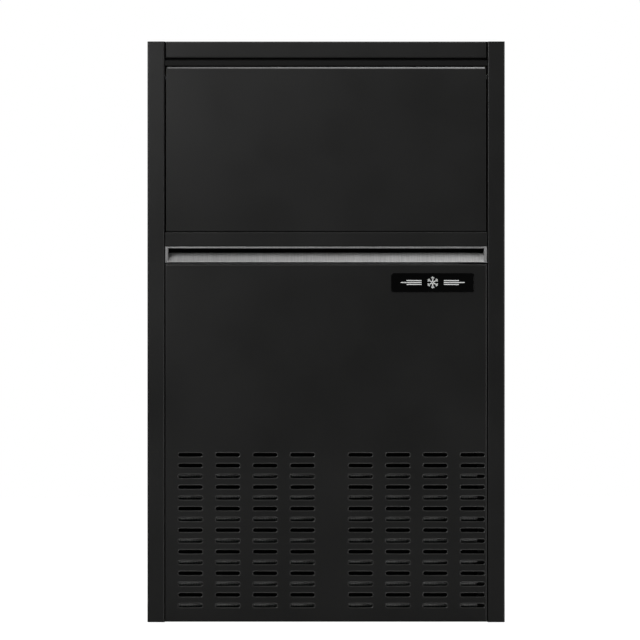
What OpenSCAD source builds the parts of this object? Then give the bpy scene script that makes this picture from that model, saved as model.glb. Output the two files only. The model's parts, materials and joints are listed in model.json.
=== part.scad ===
// Under-counter ice maker: an insulated bin with a lift-up door, an evaporator above the bin,
// and an air-cooled refrigeration unit behind a louvred panel under it.
// Origin at the centre of the base, +Z up, the front faces -Y.

/* [Cabinet] */
// Width over the side panels
cabinet_w = 448; // [444:1:460]
// Height from the underside to the top cover
cabinet_h = 728; // [724:1:740]
// Depth from the badge's face to the ends of the rear fittings
overall_d = 400; // [396:1:420]
// Distance that the rear fittings stand out of the back panel
fitting_reach = 18; // [16:1:22]
// Width of each front column
column_w = 21.6; // [20:0.2:24]
// Thickness of the folded sheet steel
sheet_t = 1; // [0.8:0.1:1.2]
// Outside radius of the bends in the sheet
bend_r = 2; // [1.6:0.1:3]

/* [Door] */
// Height of the strip of the top cover above the door
top_strip_h = 21; // [20:0.5:24]
// Gap above the door, which its top edge turns through
door_top_gap = 11; // [10:0.5:13]
// Height of the recessed face of the door
door_face_h = 207; // [200:1:212]
// How far that face lies behind the columns
door_face_recess = 1.5; // [1:0.1:2]
// Height of the flush rail under the face
door_rail_h = 18; // [16:0.5:20]
// Height of the bright pull channel
pull_h = 20.5; // [19:0.5:24]
// Thickness of the door without its gasket
door_t = 30; // [28:1:34]
// Gap between the door's rail and each column
door_side_gap = 0.8; // [0.6:0.1:1.5]

/* [Louvres] */
// Number of rows of slots
louvre_rows = 15; // [10:1:15]
// Distance from one row to the next
louvre_pitch_z = 13.5; // [12:0.1:14]
// Distance from one slot to the next in a row
louvre_pitch_x = 46.8; // [40:0.1:46.8]
// Length of a slot
slot_l = 30; // [20:1:30]
// Height of a slot
slot_h = 4.2; // [3:0.1:6]

/* [Ice making] */
// Size of one ice cell, wall to wall
cell_pitch = 24; // [20:0.5:24]
// Number of cells across
cell_cols = 9; // [6:1:9]
// Number of cells from top to bottom
cell_rows = 5; // [3:1:5]
// Diameter of the fan
fan_d = 160; // [120:2:162]

/* [Hidden] */

$fn = 48;

// Clearances
seam = 0.4;
nip = 0.2;
run_gap = 0.05;
through = 1;

// Outer faces
badge_t = 1.2;
half_w = cabinet_w / 2;
front_y = -overall_d / 2 + badge_t;
back_y = overall_d / 2 - fitting_reach;
inner_half_w = half_w - sheet_t;
open_half_w = half_w - column_w;

// Levels of the front, from the top down
strip_z = cabinet_h - top_strip_h;
door_top_z = strip_z - door_top_gap;
rail_top_z = door_top_z - door_face_h;
pull_top_z = rail_top_z - door_rail_h;
door_bottom_z = pull_top_z - pull_h;
panel_top_z = door_bottom_z - 1.5;

// Door
door_half_w = open_half_w - door_side_gap;
face_half_w = door_half_w - 1;
door_skin_t = 0.8;
door_back_y = front_y + door_t;
seal_y = door_back_y + 6;
header_y = seal_y + 5;
hinge_y = front_y + 15;
hinge_z = door_top_z - 12;
hinge_pin_r = 3;
mouth_half_w = 178;
mouth_z = [466, 634];
frame_z = [438, 650];

// Bin: the outside of the liner, and its wall
liner_half_w = 187;
liner_t = 3;
liner_front_y = seal_y + 3;
liner_back_y = 143;
liner_z = [247, 700];
board_z = 222;
chase_x = 149;

// Evaporator and the water circuit round it
cell_depth = 22;
grid_y = 56;
grid_half_w = cell_cols * cell_pitch / 2;
grid_z = 526;
grid_top_z = grid_z + cell_rows * cell_pitch;
coil_r = 4.7;
coil_y = grid_y + cell_depth + coil_r + 0.3;
coil_rows = 6;
coil_pitch = 20;
coil_z = grid_z + 10;
coil_half_w = grid_half_w - 12;
frame_x = [grid_half_w + 4, grid_half_w + 7];
tube_y = 66;
tube_z = grid_top_z + 15;
tube_r = 9;
curtain_y = 46;
curtain_z = grid_top_z + 24;
curtain_pin_r = 2.5;
trough_half_w = 168;
trough_y = [40, 125];
trough_z = [436, 484];
trough_t = 3;
pump_at = [146, 98];
pump_nozzle_z = 451;
hose_front_y = tube_y + 12;
float_at = [-142, 82];
stem_r = 3;
float_r = 12;

// Refrigeration unit
condenser_half_w = 190;
condenser_y = [front_y + 12, front_y + 56];
condenser_z = [14, 214];
fan_at = [-85, 110];
shroud_y = condenser_y[1] + 28;
compressor_at = [105, 60];
compressor_r = 75;
compressor_stub = 8;
stub_z = 140;
suction_stub_x = 120;
discharge_stub_x = 125;
suction_x = 176;
suction_z = coil_z + (coil_rows - 1) * coil_pitch;
liquid_x = 160;
liquid_r = 3.2;
discharge_r = 4;
drier_x = [-58, 50];
drier_y = 150;
drier_z = 110;
condenser_plate_t = 1.2;
pan_t = 1.5;
valve_at = [-168, 172];
inlet_x = -158;
inlet_z = 560;
deck_z = [220.3, 221.8];
drain_at = [-90, 118];
drain_z = 45;
collar_t = 2;
gland_at = [60, 60];
leg_at = [207, 150];
leg_thread_r = 4.25;
badge_at = [133.6, panel_top_z - 23.2];
badge_size = [104, 24];

// Columns and rows of the louvres, counted from the left and from the top
louvre_z = 209.7;
louvre_x = [-170, 43.2];
louvre_group = 4;

// Controls, behind the top of the door
fascia_z = [654, 692];
fascia_t = 2.5;
fascia_y = header_y - fascia_t;
fascia_x = [-84, 104];
window_x = 31;
window_size = [26, 14];
button_r = 6;
button_gap = 0.3;
button_proud = 1.8;
button_travel = 1.5;
button_x = [-60, -36, -12];
control_z = (fascia_z[0] + fascia_z[1]) / 2;
rocker_x = 84;
rocker_size = [11, 17];
rocker_cut = [15, 21];
rocker_tilt = 8;

// ---- Shapes that several parts share ----

module box(low, high) {
    translate(low) cube(high - low);
}

module rounded_rect(low, high, r) {
    size = high - low;
    translate([low[0] + r, low[1]]) square([size[0] - 2 * r, size[1]]);
    translate([low[0], low[1] + r]) square([size[0], size[1] - 2 * r]);
    for (x = [low[0] + r, high[0] - r], y = [low[1] + r, high[1] - r])
        translate([x, y]) circle(r);
}

// A rounded slot, lying along X
module slot_2d(length, height) {
    square([length - height, height], center = true);
    for (side = [-1, 1])
        translate([side * (length - height) / 2, 0]) circle(height / 2);
}

// Extrudes an outline drawn in Y and Z along X
module along_x(x0, x1) {
    translate([x0, 0, 0]) rotate([90, 0, 90]) linear_extrude(x1 - x0) children();
}

// Extrudes an outline drawn in X and Z along Y
module along_y(y0, y1) {
    translate([0, y1, 0]) rotate([90, 0, 0]) linear_extrude(y1 - y0) children();
}

module rod_x(r, x0, x1, y, z) {
    translate([x0, y, z]) rotate([0, 90, 0]) cylinder(h = x1 - x0, r = r);
}

module rod_y(r, y0, y1, x, z) {
    translate([x, y1, z]) rotate([90, 0, 0]) cylinder(h = y1 - y0, r = r);
}

module rod_z(r, z0, z1, x, y) {
    translate([x, y, z0]) cylinder(h = z1 - z0, r = r);
}

// A straight length of pipe between two points that differ on one axis
module pipe_leg(a, b, r) {
    way = (b - a) / norm(b - a);
    turn = abs(way[0]) > 0.5 ? [0, 90 * way[0], 0]
        : abs(way[1]) > 0.5 ? [-90 * way[1], 0, 0]
        : [way[2] > 0 ? 0 : 180, 0, 0];
    translate(a) rotate(turn) cylinder(h = norm(b - a), r = r);
}

// A quarter bend that turns from direction u to direction v at the corner p
module pipe_elbow(p, u, v, r, bend) {
    w = cross(u, v);
    c = p - u * bend + v * bend;
    multmatrix([
        [-v[0], u[0], w[0], c[0]],
        [-v[1], u[1], w[1], c[1]],
        [-v[2], u[2], w[2], c[2]],
        [0, 0, 0, 1]
    ])
        rotate_extrude(angle = 90) translate([bend, 0]) circle(r);
}

// A pipe with square corners, each one bent to the same radius
module pipe(points, r, bend) {
    last = len(points) - 1;
    ways = [for (i = [0:last - 1]) (points[i + 1] - points[i]) / norm(points[i + 1] - points[i])];
    for (i = [0:last - 1]) {
        start = points[i] + (i > 0 ? bend : 0) * ways[i];
        end = points[i + 1] - (i < last - 1 ? bend : 0) * ways[i];
        pipe_leg(start, end, r);
    }
    for (i = [1:last - 1])
        pipe_elbow(points[i], ways[i - 1], ways[i], r, bend);
}

// ---- Cabinet ----

module side_panel() {
    rear_flange_w = 16;
    linear_extrude(cabinet_h)
        difference() {
            rounded_rect([open_half_w, front_y], [half_w, back_y - sheet_t], bend_r);
            rounded_rect(
                [open_half_w + sheet_t, front_y + sheet_t],
                [inner_half_w, back_y - 2 * sheet_t],
                bend_r - sheet_t
            );
            translate([open_half_w - through, seal_y])
                square([column_w - rear_flange_w + through, overall_d]);
        }
    box([open_half_w, front_y + bend_r, cabinet_h - sheet_t], [half_w - bend_r, back_y - sheet_t, cabinet_h]);
}

module right_panel_shape() {
    difference() {
        side_panel();
        rod_x(hinge_pin_r, open_half_w - through, open_half_w + sheet_t + through, hinge_y, hinge_z);
        for (z = screw_z)
            rod_y(screw_hole_r, back_y - 3 * sheet_t, back_y, screw_x, z);
    }
}

module left_side_panel() {
    color("#262624") mirror([1, 0, 0]) right_panel_shape();
}

module right_side_panel() {
    color("#262624") right_panel_shape();
}

module top_cover() {
    return_d = 14;
    color("#262624")
        along_x(-open_half_w + seam, open_half_w - seam)
            difference() {
                rounded_rect([front_y, strip_z], [back_y, cabinet_h], bend_r);
                rounded_rect(
                    [front_y + sheet_t, strip_z + sheet_t],
                    [back_y - sheet_t, cabinet_h - sheet_t],
                    bend_r - sheet_t
                );
                translate([front_y + return_d, strip_z - through])
                    square([overall_d, top_strip_h + through - sheet_t]);
            }
}

module back_panel() {
    vent_rows = 7;
    vent_cols = 5;
    vent_pitch = [52, 14];
    vent_low = [-104, 96];
    color("#2b2b29")
        difference() {
            box(
                [-half_w + seam, back_y - sheet_t + nip, nip],
                [half_w - seam, back_y, cabinet_h - sheet_t - nip]
            );
            along_y(back_y - 2 * sheet_t, back_y + through)
                for (i = [0:vent_cols - 1], j = [0:vent_rows - 1])
                    translate([vent_low[0] + i * vent_pitch[0], vent_low[1] + j * vent_pitch[1]])
                        slot_2d(40, 5);
            rod_y(13.7, back_y - 2 * sheet_t, back_y + through, valve_at[0], valve_at[1]);
            rod_y(10.5, back_y - 2 * sheet_t, back_y + through, drain_at[0], drain_z);
            rod_y(8.2, back_y - 2 * sheet_t, back_y + through, gland_at[0], gland_at[1]);
            for (p = screw_places())
                rod_y(screw_hole_r, back_y - 2 * sheet_t, back_y + through, p[0], p[1]);
        }
}

screw_x = half_w - 9;
screw_z = [34, 240, 460, 700];
screw_r = 2;
screw_hole_r = 2.1;
screw_l = 6;

function screw_places() = [for (side = [-1, 1], z = screw_z) [side * screw_x, z]];

module panel_screws() {
    color("#9a9a98")
        for (p = screw_places()) {
            rod_y(screw_r, back_y - screw_l, back_y, p[0], p[1]);
            rod_y(2 * screw_r, back_y, back_y + 2.2, p[0], p[1]);
        }
}

module base_pan() {
    pan_half_w = inner_half_w - nip;
    pan_y = [front_y + 11, back_y - 2.5];
    wall_h = 24;
    front_h = 12;
    color("#3b3c3d")
        difference() {
            box([-pan_half_w, pan_y[0], 0], [pan_half_w, pan_y[1], wall_h]);
            box(
                [-pan_half_w + pan_t, pan_y[0] + pan_t, pan_t],
                [pan_half_w - pan_t, pan_y[1] - pan_t, wall_h + through]
            );
            box(
                [-pan_half_w - through, pan_y[0] - through, front_h],
                [pan_half_w + through, condenser_y[1], wall_h + through]
            );
            for (side = [-1, 1])
                box_mirrored(
                    side,
                    [open_half_w - seam, pan_y[0] - through, -through],
                    [half_w, seal_y + seam, wall_h + through]
                );
            for (p = leg_places())
                rod_z(5.5, -through, pan_t + through, p[0], p[1]);
        }
}

// A box on the right-hand side, or its mirror image on the left
module box_mirrored(side, low, high) {
    mirror([side < 0 ? 1 : 0, 0, 0]) box(low, high);
}

function leg_places() = [for (x = [-1, 1], y = [-1, 1]) [x * leg_at[0], y * leg_at[1]]];

module leg_sockets() {
    socket_h = 10;
    color("#b4b4b0")
        for (p = leg_places())
            difference() {
                translate([p[0], p[1], pan_t]) cylinder(h = socket_h, r = 9.8, $fn = 6);
                rod_z(leg_thread_r, 0, pan_t + socket_h + through, p[0], p[1]);
            }
}

module louvre_slots_2d() {
    for (x0 = louvre_x, i = [0:louvre_group - 1], j = [0:louvre_rows - 1])
        translate([x0 + i * louvre_pitch_x, louvre_z - j * louvre_pitch_z])
            slot_2d(slot_l, slot_h);
}

module lower_front_panel() {
    half = open_half_w - seam;
    return_d = 10;
    color("#242422")
        difference() {
            folded_tray(half, [0.5, panel_top_z], return_d);
            along_y(front_y - through, front_y + 2 * sheet_t) louvre_slots_2d();
        }
}

// A folded tray with its open side to the back
module folded_tray(half, z, return_d) {
    translate([0, 0, z[0]])
        linear_extrude(z[1] - z[0])
            difference() {
                rounded_rect([-half, front_y], [half, front_y + 2 * return_d], bend_r);
                rounded_rect(
                    [-half + sheet_t, front_y + sheet_t],
                    [half - sheet_t, front_y + 3 * return_d],
                    bend_r - sheet_t
                );
                translate([-half - through, front_y + return_d]) square([cabinet_w, 2 * return_d]);
            }
    for (level = [z[0], z[1] - sheet_t])
        box(
            [-half + bend_r, front_y + sheet_t, level],
            [half - bend_r, front_y + return_d, level + sheet_t]
        );
}

module badge_plate() {
    color("#0c0c0c")
        along_y(front_y - badge_t, front_y)
            rounded_rect(badge_at - badge_size / 2, badge_at + badge_size / 2, 3);
}

// The rail behind the gap above the door. A lip in front of it narrows the gap to what the
// door's top edge needs, and a groove parts the lip from the strip above.
module header_rail() {
    z = [frame_z[1] + seam, strip_z - seam];
    lip_y = [front_y + 1.2, front_y + 8];
    lip_z = [door_top_z + 1.6, z[1] - 2.4];
    half = open_half_w - seam;
    cut_half = rocker_cut / 2 + [nip, nip];
    color("#1e1e1d")
        difference() {
            union() {
                box([-half, header_y, z[0]], [half, header_y + sheet_t, z[1]]);
                box([-half, lip_y[1] - sheet_t, z[1] - sheet_t], [half, header_y + sheet_t, z[1]]);
                box([-half, lip_y[1] - sheet_t, lip_z[1] - sheet_t], [half, lip_y[1], z[1]]);
                box([-half, lip_y[0], lip_z[1] - sheet_t], [half, lip_y[1], lip_z[1]]);
                box([-half, lip_y[0], lip_z[0]], [half, lip_y[0] + sheet_t, lip_z[1]]);
            }
            box(
                [rocker_x - cut_half[0], header_y - through, control_z - cut_half[1]],
                [rocker_x + cut_half[0], header_y + 2 * sheet_t, control_z + cut_half[1]]
            );
        }
}

module front_mid_rail() {
    z = panel_top_z - sheet_t - 0.6;
    half = open_half_w - 2.4;
    color("#1e1e1d") {
        box([-half, front_y + 1.4, z - sheet_t], [half, seal_y - seam, z]);
        box([-half, front_y + 1.4, z - 16], [half, front_y + 2.4, z - sheet_t]);
    }
}

module hinge_pins() {
    color("#b8b8b4")
        for (side = [0, 1])
            mirror([side, 0, 0]) {
                rod_x(hinge_pin_r, face_half_w - 12, open_half_w + sheet_t, hinge_y, hinge_z);
                rod_x(5, open_half_w + sheet_t, open_half_w + sheet_t + 2.5, hinge_y, hinge_z);
            }
}

// ---- Insulated bin ----

module bin_insulation() {
    slab_y = [header_y + sheet_t + nip, back_y - screw_l - seam];
    side_x = [liner_half_w + nip, inner_half_w - nip];
    front_half_w = open_half_w - 4;
    front_slab_y = [front_y + 11, seal_y - nip];
    color("#e3d9b8") {
        for (side = [0, 1])
            mirror([side, 0, 0])
                box([side_x[0], slab_y[0], board_z], [side_x[1], slab_y[1], liner_z[1]]);
        box([-chase_x, liner_back_y + nip, board_z], [chase_x, slab_y[1], liner_z[1]]);
        difference() {
            box([-liner_half_w, liner_front_y, board_z], [liner_half_w, liner_back_y, liner_z[0] - nip]);
            rod_z(14, board_z - through, liner_z[0], drain_at[0], drain_at[1]);
        }
        box([-front_half_w, front_slab_y[0], board_z], [front_half_w, front_slab_y[1], panel_top_z - 9]);
    }
}

module top_insulation() {
    color("#e3d9b8")
        box(
            [-open_half_w + 2, header_y + 2, liner_z[1] + nip],
            [open_half_w - 2, back_y - screw_l - seam, cabinet_h - sheet_t - nip]
        );
}

module bin_liner() {
    flange_half_w = open_half_w - seam;
    hose_hole_r = 6;
    color("#dfe3e4")
        difference() {
            union() {
                box([-liner_half_w, liner_front_y, liner_z[0]], [liner_half_w, liner_back_y, liner_z[1]]);
                box([-flange_half_w, seal_y, frame_z[0]], [flange_half_w, liner_front_y, frame_z[1]]);
            }
            box(
                [-liner_half_w + liner_t, liner_front_y + liner_t, liner_z[0] + liner_t],
                [liner_half_w - liner_t, liner_back_y - liner_t, liner_z[1] + through]
            );
            box(
                [-mouth_half_w, seal_y - through, mouth_z[0]],
                [mouth_half_w, liner_front_y + 2 * liner_t, mouth_z[1]]
            );
            box(
                [-half_w, seal_y - through, frame_z[1]],
                [half_w, header_y + sheet_t + nip, liner_z[1] + through]
            );
            rod_z(10.2, liner_z[0] - through, liner_z[0] + 2 * liner_t, drain_at[0], drain_at[1]);
            for (p = [[inlet_x, inlet_z], [suction_x, suction_z], [liquid_x, coil_z]])
                rod_y(hose_hole_r, liner_back_y - 2 * liner_t, liner_back_y + through, p[0], p[1]);
        }
}

// The sheet that the bin's insulation stands on, over the refrigeration unit
module bin_deck() {
    half = inner_half_w - nip;
    deck_y = [front_y + 11, back_y - 2.4];
    color("#8b8f91")
        difference() {
            box([-half, deck_y[0], deck_z[0]], [half, deck_y[1], deck_z[1]]);
            for (side = [-1, 1]) {
                box_mirrored(
                    side,
                    [chase_x, liner_back_y + nip, deck_z[0] - through],
                    [liner_half_w, deck_y[1] - 3, deck_z[1] + through]
                );
                box_mirrored(
                    side,
                    [open_half_w - nip, deck_y[0] - through, deck_z[0] - through],
                    [half + through, seal_y + nip, deck_z[1] + through]
                );
            }
            rod_z(14, deck_z[0] - through, deck_z[1] + through, drain_at[0], drain_at[1]);
        }
}

// A flanged outlet in the floor of the bin
module bin_drain() {
    flange_r = 18;
    pipe_r = 10;
    bore_r = 7;
    floor_z = liner_z[0] + liner_t;
    low_z = board_z - 12;
    color("#f0f0ee")
        difference() {
            union() {
                rod_z(flange_r, floor_z, floor_z + 2, drain_at[0], drain_at[1]);
                rod_z(pipe_r, low_z, floor_z, drain_at[0], drain_at[1]);
            }
            rod_z(bore_r, low_z - through, floor_z + 2 + through, drain_at[0], drain_at[1]);
        }
}

// A sensing tube that reaches over the ice from a plate on the wall of the bin
module ice_level_probe() {
    y = 10;
    z = 420;
    tube_end_x = 70;
    plate_r = 9;
    plate_h = 14;
    wall_x = liner_half_w - liner_t;
    plate_x = [wall_x - 3, wall_x - nip];
    color("#c9ccce") {
        rod_x(4, tube_end_x, wall_x, y, z);
        rod_x(plate_r, plate_x[0], plate_x[1], y, z + plate_h);
        box([plate_x[0], y - plate_r, z - plate_r], [plate_x[1], y + plate_r, z + plate_h]);
    }
}

// ---- Controls ----

module control_fascia() {
    color("#2e3033")
        difference() {
            along_y(fascia_y, header_y)
                rounded_rect([fascia_x[0], fascia_z[0]], [fascia_x[1], fascia_z[1]], 4);
            for (x = button_x)
                rod_y(button_r + button_gap, fascia_y - through, header_y + through, x, control_z);
            control_cut(window_x, window_size / 2);
            control_cut(rocker_x, rocker_cut / 2);
        }
}

// A square hole through the fascia, given by its centre and half of its size
module control_cut(x, half) {
    box(
        [x - half[0], fascia_y - through, control_z - half[1]],
        [x + half[0], header_y + through, control_z + half[1]]
    );
}

module display_window() {
    half = window_size / 2 - [0.1, 0.1];
    color("#101214")
        box(
            [window_x - half[0], fascia_y + 0.3, control_z - half[1]],
            [window_x + half[0], header_y, control_z + half[1]]
        );
}

// A round cap with a dished face for the fingertip
module push_button(x) {
    dish_r = 19;
    dish_depth = 0.6;
    cap_y = fascia_y - button_proud;
    difference() {
        rod_y(button_r, cap_y, header_y - button_travel - 0.3, x, control_z);
        translate([x, cap_y - dish_r + dish_depth, control_z]) sphere(r = dish_r);
    }
}

module start_button() {
    color("#4f9d5b") push_button(button_x[0]);
}

module clean_button() {
    color("#c9cccf") push_button(button_x[1]);
}

module light_button() {
    color("#c9cccf") push_button(button_x[2]);
}

rocker_axis_y = header_y - 1.6;
trunnion_r = 1.2;

module rocker_housing() {
    gap = 0.4;
    half_x = rocker_size[0] / 2 + gap;
    half_z = rocker_size[1] / 2 + gap;
    wall = rocker_cut[0] / 2 - nip - half_x;
    color("#17181a")
        difference() {
            box(
                [rocker_x - half_x - wall, fascia_y - 0.6, control_z - half_z - wall],
                [rocker_x + half_x + wall, header_y + 2.6, control_z + half_z + wall]
            );
            box(
                [rocker_x - half_x, fascia_y - 2, control_z - half_z],
                [rocker_x + half_x, header_y + 1.8, control_z + half_z]
            );
            rod_x(
                trunnion_r + run_gap,
                rocker_x - half_x - wall / 2,
                rocker_x + half_x + wall / 2,
                rocker_axis_y,
                control_z
            );
        }
}

module power_rocker() {
    half_x = rocker_size[0] / 2;
    end_z = rocker_size[1] / 2 - 0.4;
    color("#a8322b")
        translate([rocker_x, rocker_axis_y, control_z])
            rotate([rocker_tilt, 0, 0]) {
                rod_x(trunnion_r, -half_x - 1, half_x + 1, 0, 0);
                along_x(-half_x, half_x)
                    polygon([
                        [-1.6, 0],
                        [-2.6, end_z],
                        [0.6, end_z],
                        [1.2, 0],
                        [0.6, -end_z],
                        [-2.6, -end_z]
                    ]);
            }
}

// ---- Door ----

module door_front_panel() {
    y0 = front_y + door_face_recess;
    y1 = door_back_y - 2.2;
    color("#232321")
        difference() {
            along_x(-face_half_w, face_half_w)
                rounded_rect([y0, rail_top_z], [y1 + 2 * bend_r, door_top_z], bend_r);
            box(
                [-face_half_w + door_skin_t, y0 + door_skin_t, rail_top_z + door_skin_t],
                [face_half_w - door_skin_t, door_back_y + door_t, door_top_z - door_skin_t]
            );
            box([-half_w, y1, rail_top_z - through], [half_w, door_back_y + door_t, door_top_z + through]);
            for (side = [0, 1])
                mirror([side, 0, 0])
                    rod_x(hinge_pin_r + 0.4, face_half_w - 2, face_half_w + through, hinge_y, hinge_z);
        }
}

module door_lower_rail() {
    depth = 4;
    color("#262624")
        difference() {
            along_x(-door_half_w, door_half_w)
                rounded_rect([front_y, pull_top_z + nip], [front_y + 3 * depth, rail_top_z - nip], 1);
            box(
                [-door_half_w + sheet_t, front_y + sheet_t, pull_top_z + nip + sheet_t],
                [door_half_w - sheet_t, front_y + 4 * depth, rail_top_z - nip - sheet_t]
            );
            box(
                [-half_w, front_y + depth, pull_top_z - through],
                [half_w, front_y + 4 * depth, rail_top_z + through]
            );
        }
}

// Outline of the pull: a rim, a hollow behind the rail for the fingertips, and a ramp below
pull_nose_y = front_y + 0.8;
pull_back_y = front_y + 20;
pull_web = 1.2;
pull_hollow_y = front_y + 5.4;
pull_hollow_z = pull_top_z + 14;
pull_rim_z = pull_top_z - 2.5;
ramp_z = [door_bottom_z + 1.7, pull_top_z - 6.5];

pull_outside = [
    [pull_nose_y, door_bottom_z],
    [pull_back_y + pull_web, ramp_z[1] - 1.4],
    [pull_back_y + pull_web, pull_hollow_z + pull_web],
    [pull_hollow_y - pull_web, pull_hollow_z + pull_web],
    [pull_hollow_y - pull_web, pull_top_z],
    [pull_nose_y, pull_top_z]
];
pull_inside = [
    [pull_nose_y, pull_rim_z],
    [pull_hollow_y, pull_rim_z],
    [pull_hollow_y, pull_hollow_z],
    [pull_back_y, pull_hollow_z],
    [pull_back_y, ramp_z[1]],
    [pull_nose_y, ramp_z[0]]
];

cap_t = 3.5;

module door_pull() {
    color("#b9bbbd")
        along_x(-door_half_w + cap_t, door_half_w - cap_t) polygon(concat(pull_outside, pull_inside));
}

module pull_end_caps() {
    color("#aeb0b2")
        for (side = [0, 1])
            mirror([side, 0, 0])
                along_x(door_half_w - cap_t, door_half_w) polygon(pull_outside);
}

bush_l = 13;
bush_r = 6;

module door_foam() {
    half = face_half_w - door_skin_t - nip;
    color("#e8e1c6") {
        difference() {
            box(
                [-half, front_y + door_face_recess + door_skin_t + nip, rail_top_z + door_skin_t + nip],
                [half, door_back_y - 2.2, door_top_z - door_skin_t - nip]
            );
            for (side = [-1, 1])
                box_mirrored(
                    side,
                    [half - bush_l - 0.5, hinge_y - bush_r - 0.5, hinge_z - bush_r - 0.5],
                    [half + through, hinge_y + bush_r + 0.5, door_top_z]
                );
        }
        box([-half, pull_back_y + pull_web + nip, ramp_z[1]], [half, door_back_y - 2.2, rail_top_z - nip]);
    }
}

module door_bushes() {
    inner = face_half_w - door_skin_t - nip;
    color("#8d9092")
        for (side = [0, 1])
            mirror([side, 0, 0])
                difference() {
                    rod_x(bush_r, inner - bush_l, inner, hinge_y, hinge_z);
                    rod_x(hinge_pin_r + run_gap, inner - bush_l - through, inner + through, hinge_y, hinge_z);
                }
}

module door_liner() {
    plinth_t = 1.4;
    color("#e6e8e8") {
        box(
            [-face_half_w, door_back_y - 2, door_bottom_z + 0.5],
            [face_half_w, door_back_y, door_top_z - 0.5]
        );
        box([-170, door_back_y, mouth_z[0] + 12], [170, door_back_y + plinth_t, mouth_z[1] - 12]);
        box(
            [-face_half_w, pull_back_y + pull_web + 1, door_bottom_z + 0.5],
            [face_half_w, door_back_y - 2, door_bottom_z + 2]
        );
    }
}

module door_gasket() {
    outer = [mouth_half_w + 14, 12];
    inner = [mouth_half_w + 3, 2];
    color("#3a3c3e")
        difference() {
            box(
                [-outer[0], door_back_y, mouth_z[0] - outer[1]],
                [outer[0], seal_y - 0.3, mouth_z[1] + outer[1]]
            );
            box(
                [-inner[0], door_back_y - through, mouth_z[0] - inner[1]],
                [inner[0], seal_y, mouth_z[1] + inner[1]]
            );
        }
}

// ---- Ice making, over the bin ----

module evaporator_grid() {
    wall = 1.6;
    first_cell = [wall / 2 - grid_half_w, grid_y - through, wall / 2 + grid_z];
    color("#c7cacb")
        difference() {
            box([-grid_half_w, grid_y, grid_z], [grid_half_w, grid_y + cell_depth, grid_top_z]);
            for (i = [0:cell_cols - 1], j = [0:cell_rows - 1])
                translate([i * cell_pitch, 0, j * cell_pitch] + first_cell)
                    cube([cell_pitch - wall, cell_depth - 1.2 + through, cell_pitch - wall]);
        }
}

module evaporator_coil() {
    color("#b4734a") {
        for (row = [0:coil_rows - 1])
            rod_x(coil_r, -coil_half_w, coil_half_w, coil_y, coil_z + row * coil_pitch);
        for (row = [0:coil_rows - 2])
            coil_bend(row % 2 == 0 ? -1 : 1, coil_z + (row + 0.5) * coil_pitch);
        for (row = [0, coil_rows - 1])
            rod_x(coil_r, coil_half_w, grid_half_w + 9, coil_y, coil_z + row * coil_pitch);
    }
}

module coil_bend(side, z) {
    translate([side * coil_half_w, coil_y, z])
        rotate([90, side * 90, 0])
            rotate_extrude(angle = 180) translate([coil_pitch / 2, 0]) circle(coil_r);
}

module evaporator_frame() {
    top_z = curtain_z + 8;
    color("#e9ebea")
        difference() {
            union() {
                for (side = [-1, 1])
                    box_mirrored(
                        side,
                        [frame_x[0], curtain_y - 8, 506],
                        [frame_x[1], liner_back_y - liner_t - nip, top_z]
                    );
                box([-frame_x[0], 118, 640], [frame_x[0], 121, 662]);
            }
            rod_x(tube_r + 0.3, -frame_x[1] - through, frame_x[1] + through, tube_y, tube_z);
            rod_x(curtain_pin_r + run_gap, -frame_x[1] - through, frame_x[1] + through, curtain_y, curtain_z);
            for (row = [0, coil_rows - 1])
                rod_x(
                    coil_r + 0.5,
                    frame_x[0] - through,
                    frame_x[1] + through,
                    coil_y,
                    coil_z + row * coil_pitch
                );
            box([-grid_half_w - 20, 96, 500], [grid_half_w + 20, 126, 632]);
        }
}

module distribution_tube() {
    color("#eceeee")
        difference() {
            rod_x(tube_r, -frame_x[1] - 3, frame_x[1] + 6, tube_y, tube_z);
            rod_x(tube_r - 2, -frame_x[1], frame_x[1] + 7, tube_y, tube_z);
            for (i = [0:cell_cols - 1])
                translate([(i - (cell_cols - 1) / 2) * cell_pitch, tube_y, tube_z])
                    rotate([130, 0, 0]) cylinder(h = 2 * tube_r, r = 1.2);
        }
}

module water_curtain() {
    half = frame_x[0] - 2;
    t = 2.4;
    low_z = 516;
    color("#bcd0d8") {
        box([-half, curtain_y - t / 2, low_z], [half, curtain_y + t / 2, curtain_z - curtain_pin_r + 0.4]);
        rod_x(curtain_pin_r, -frame_x[1], frame_x[1], curtain_y, curtain_z);
        box([-half, curtain_y - t / 2 - 3, low_z], [half, curtain_y - t / 2, low_z + 3]);
    }
}

module water_trough() {
    color("#dfe6e8")
        difference() {
            box([-trough_half_w, trough_y[0], trough_z[0]], [trough_half_w, trough_y[1], trough_z[1]]);
            box(
                [-trough_half_w + trough_t, trough_y[0] + trough_t, trough_z[0] + trough_t],
                [trough_half_w - trough_t, trough_y[1] - trough_t, trough_z[1] + through]
            );
        }
    // Arms that hang the trough from the back of the liner
    color("#dfe6e8")
        for (side = [-1, 1])
            box_mirrored(side, [150, trough_y[1], 462], [158, liner_back_y - liner_t - nip, trough_z[1]]);
}

module ice_chute() {
    slope = -16;
    length = 84;
    bar_w = 3;
    half = 111;
    bar_pitch = 14;
    bars = floor(2 * half / bar_pitch);
    color("#e4eaeb")
        translate([0, 22, trough_z[1] + 3.4])
            rotate([-slope, 0, 0]) {
                for (i = [0:bars - 1])
                    translate([(i - (bars - 1) / 2) * bar_pitch - bar_w / 2, 3, 0])
                        cube([bar_w, length - 6, 6]);
                for (y = [0, length - 3])
                    translate([-half, y, 0]) cube([2 * half, 3, 6]);
            }
}

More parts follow.
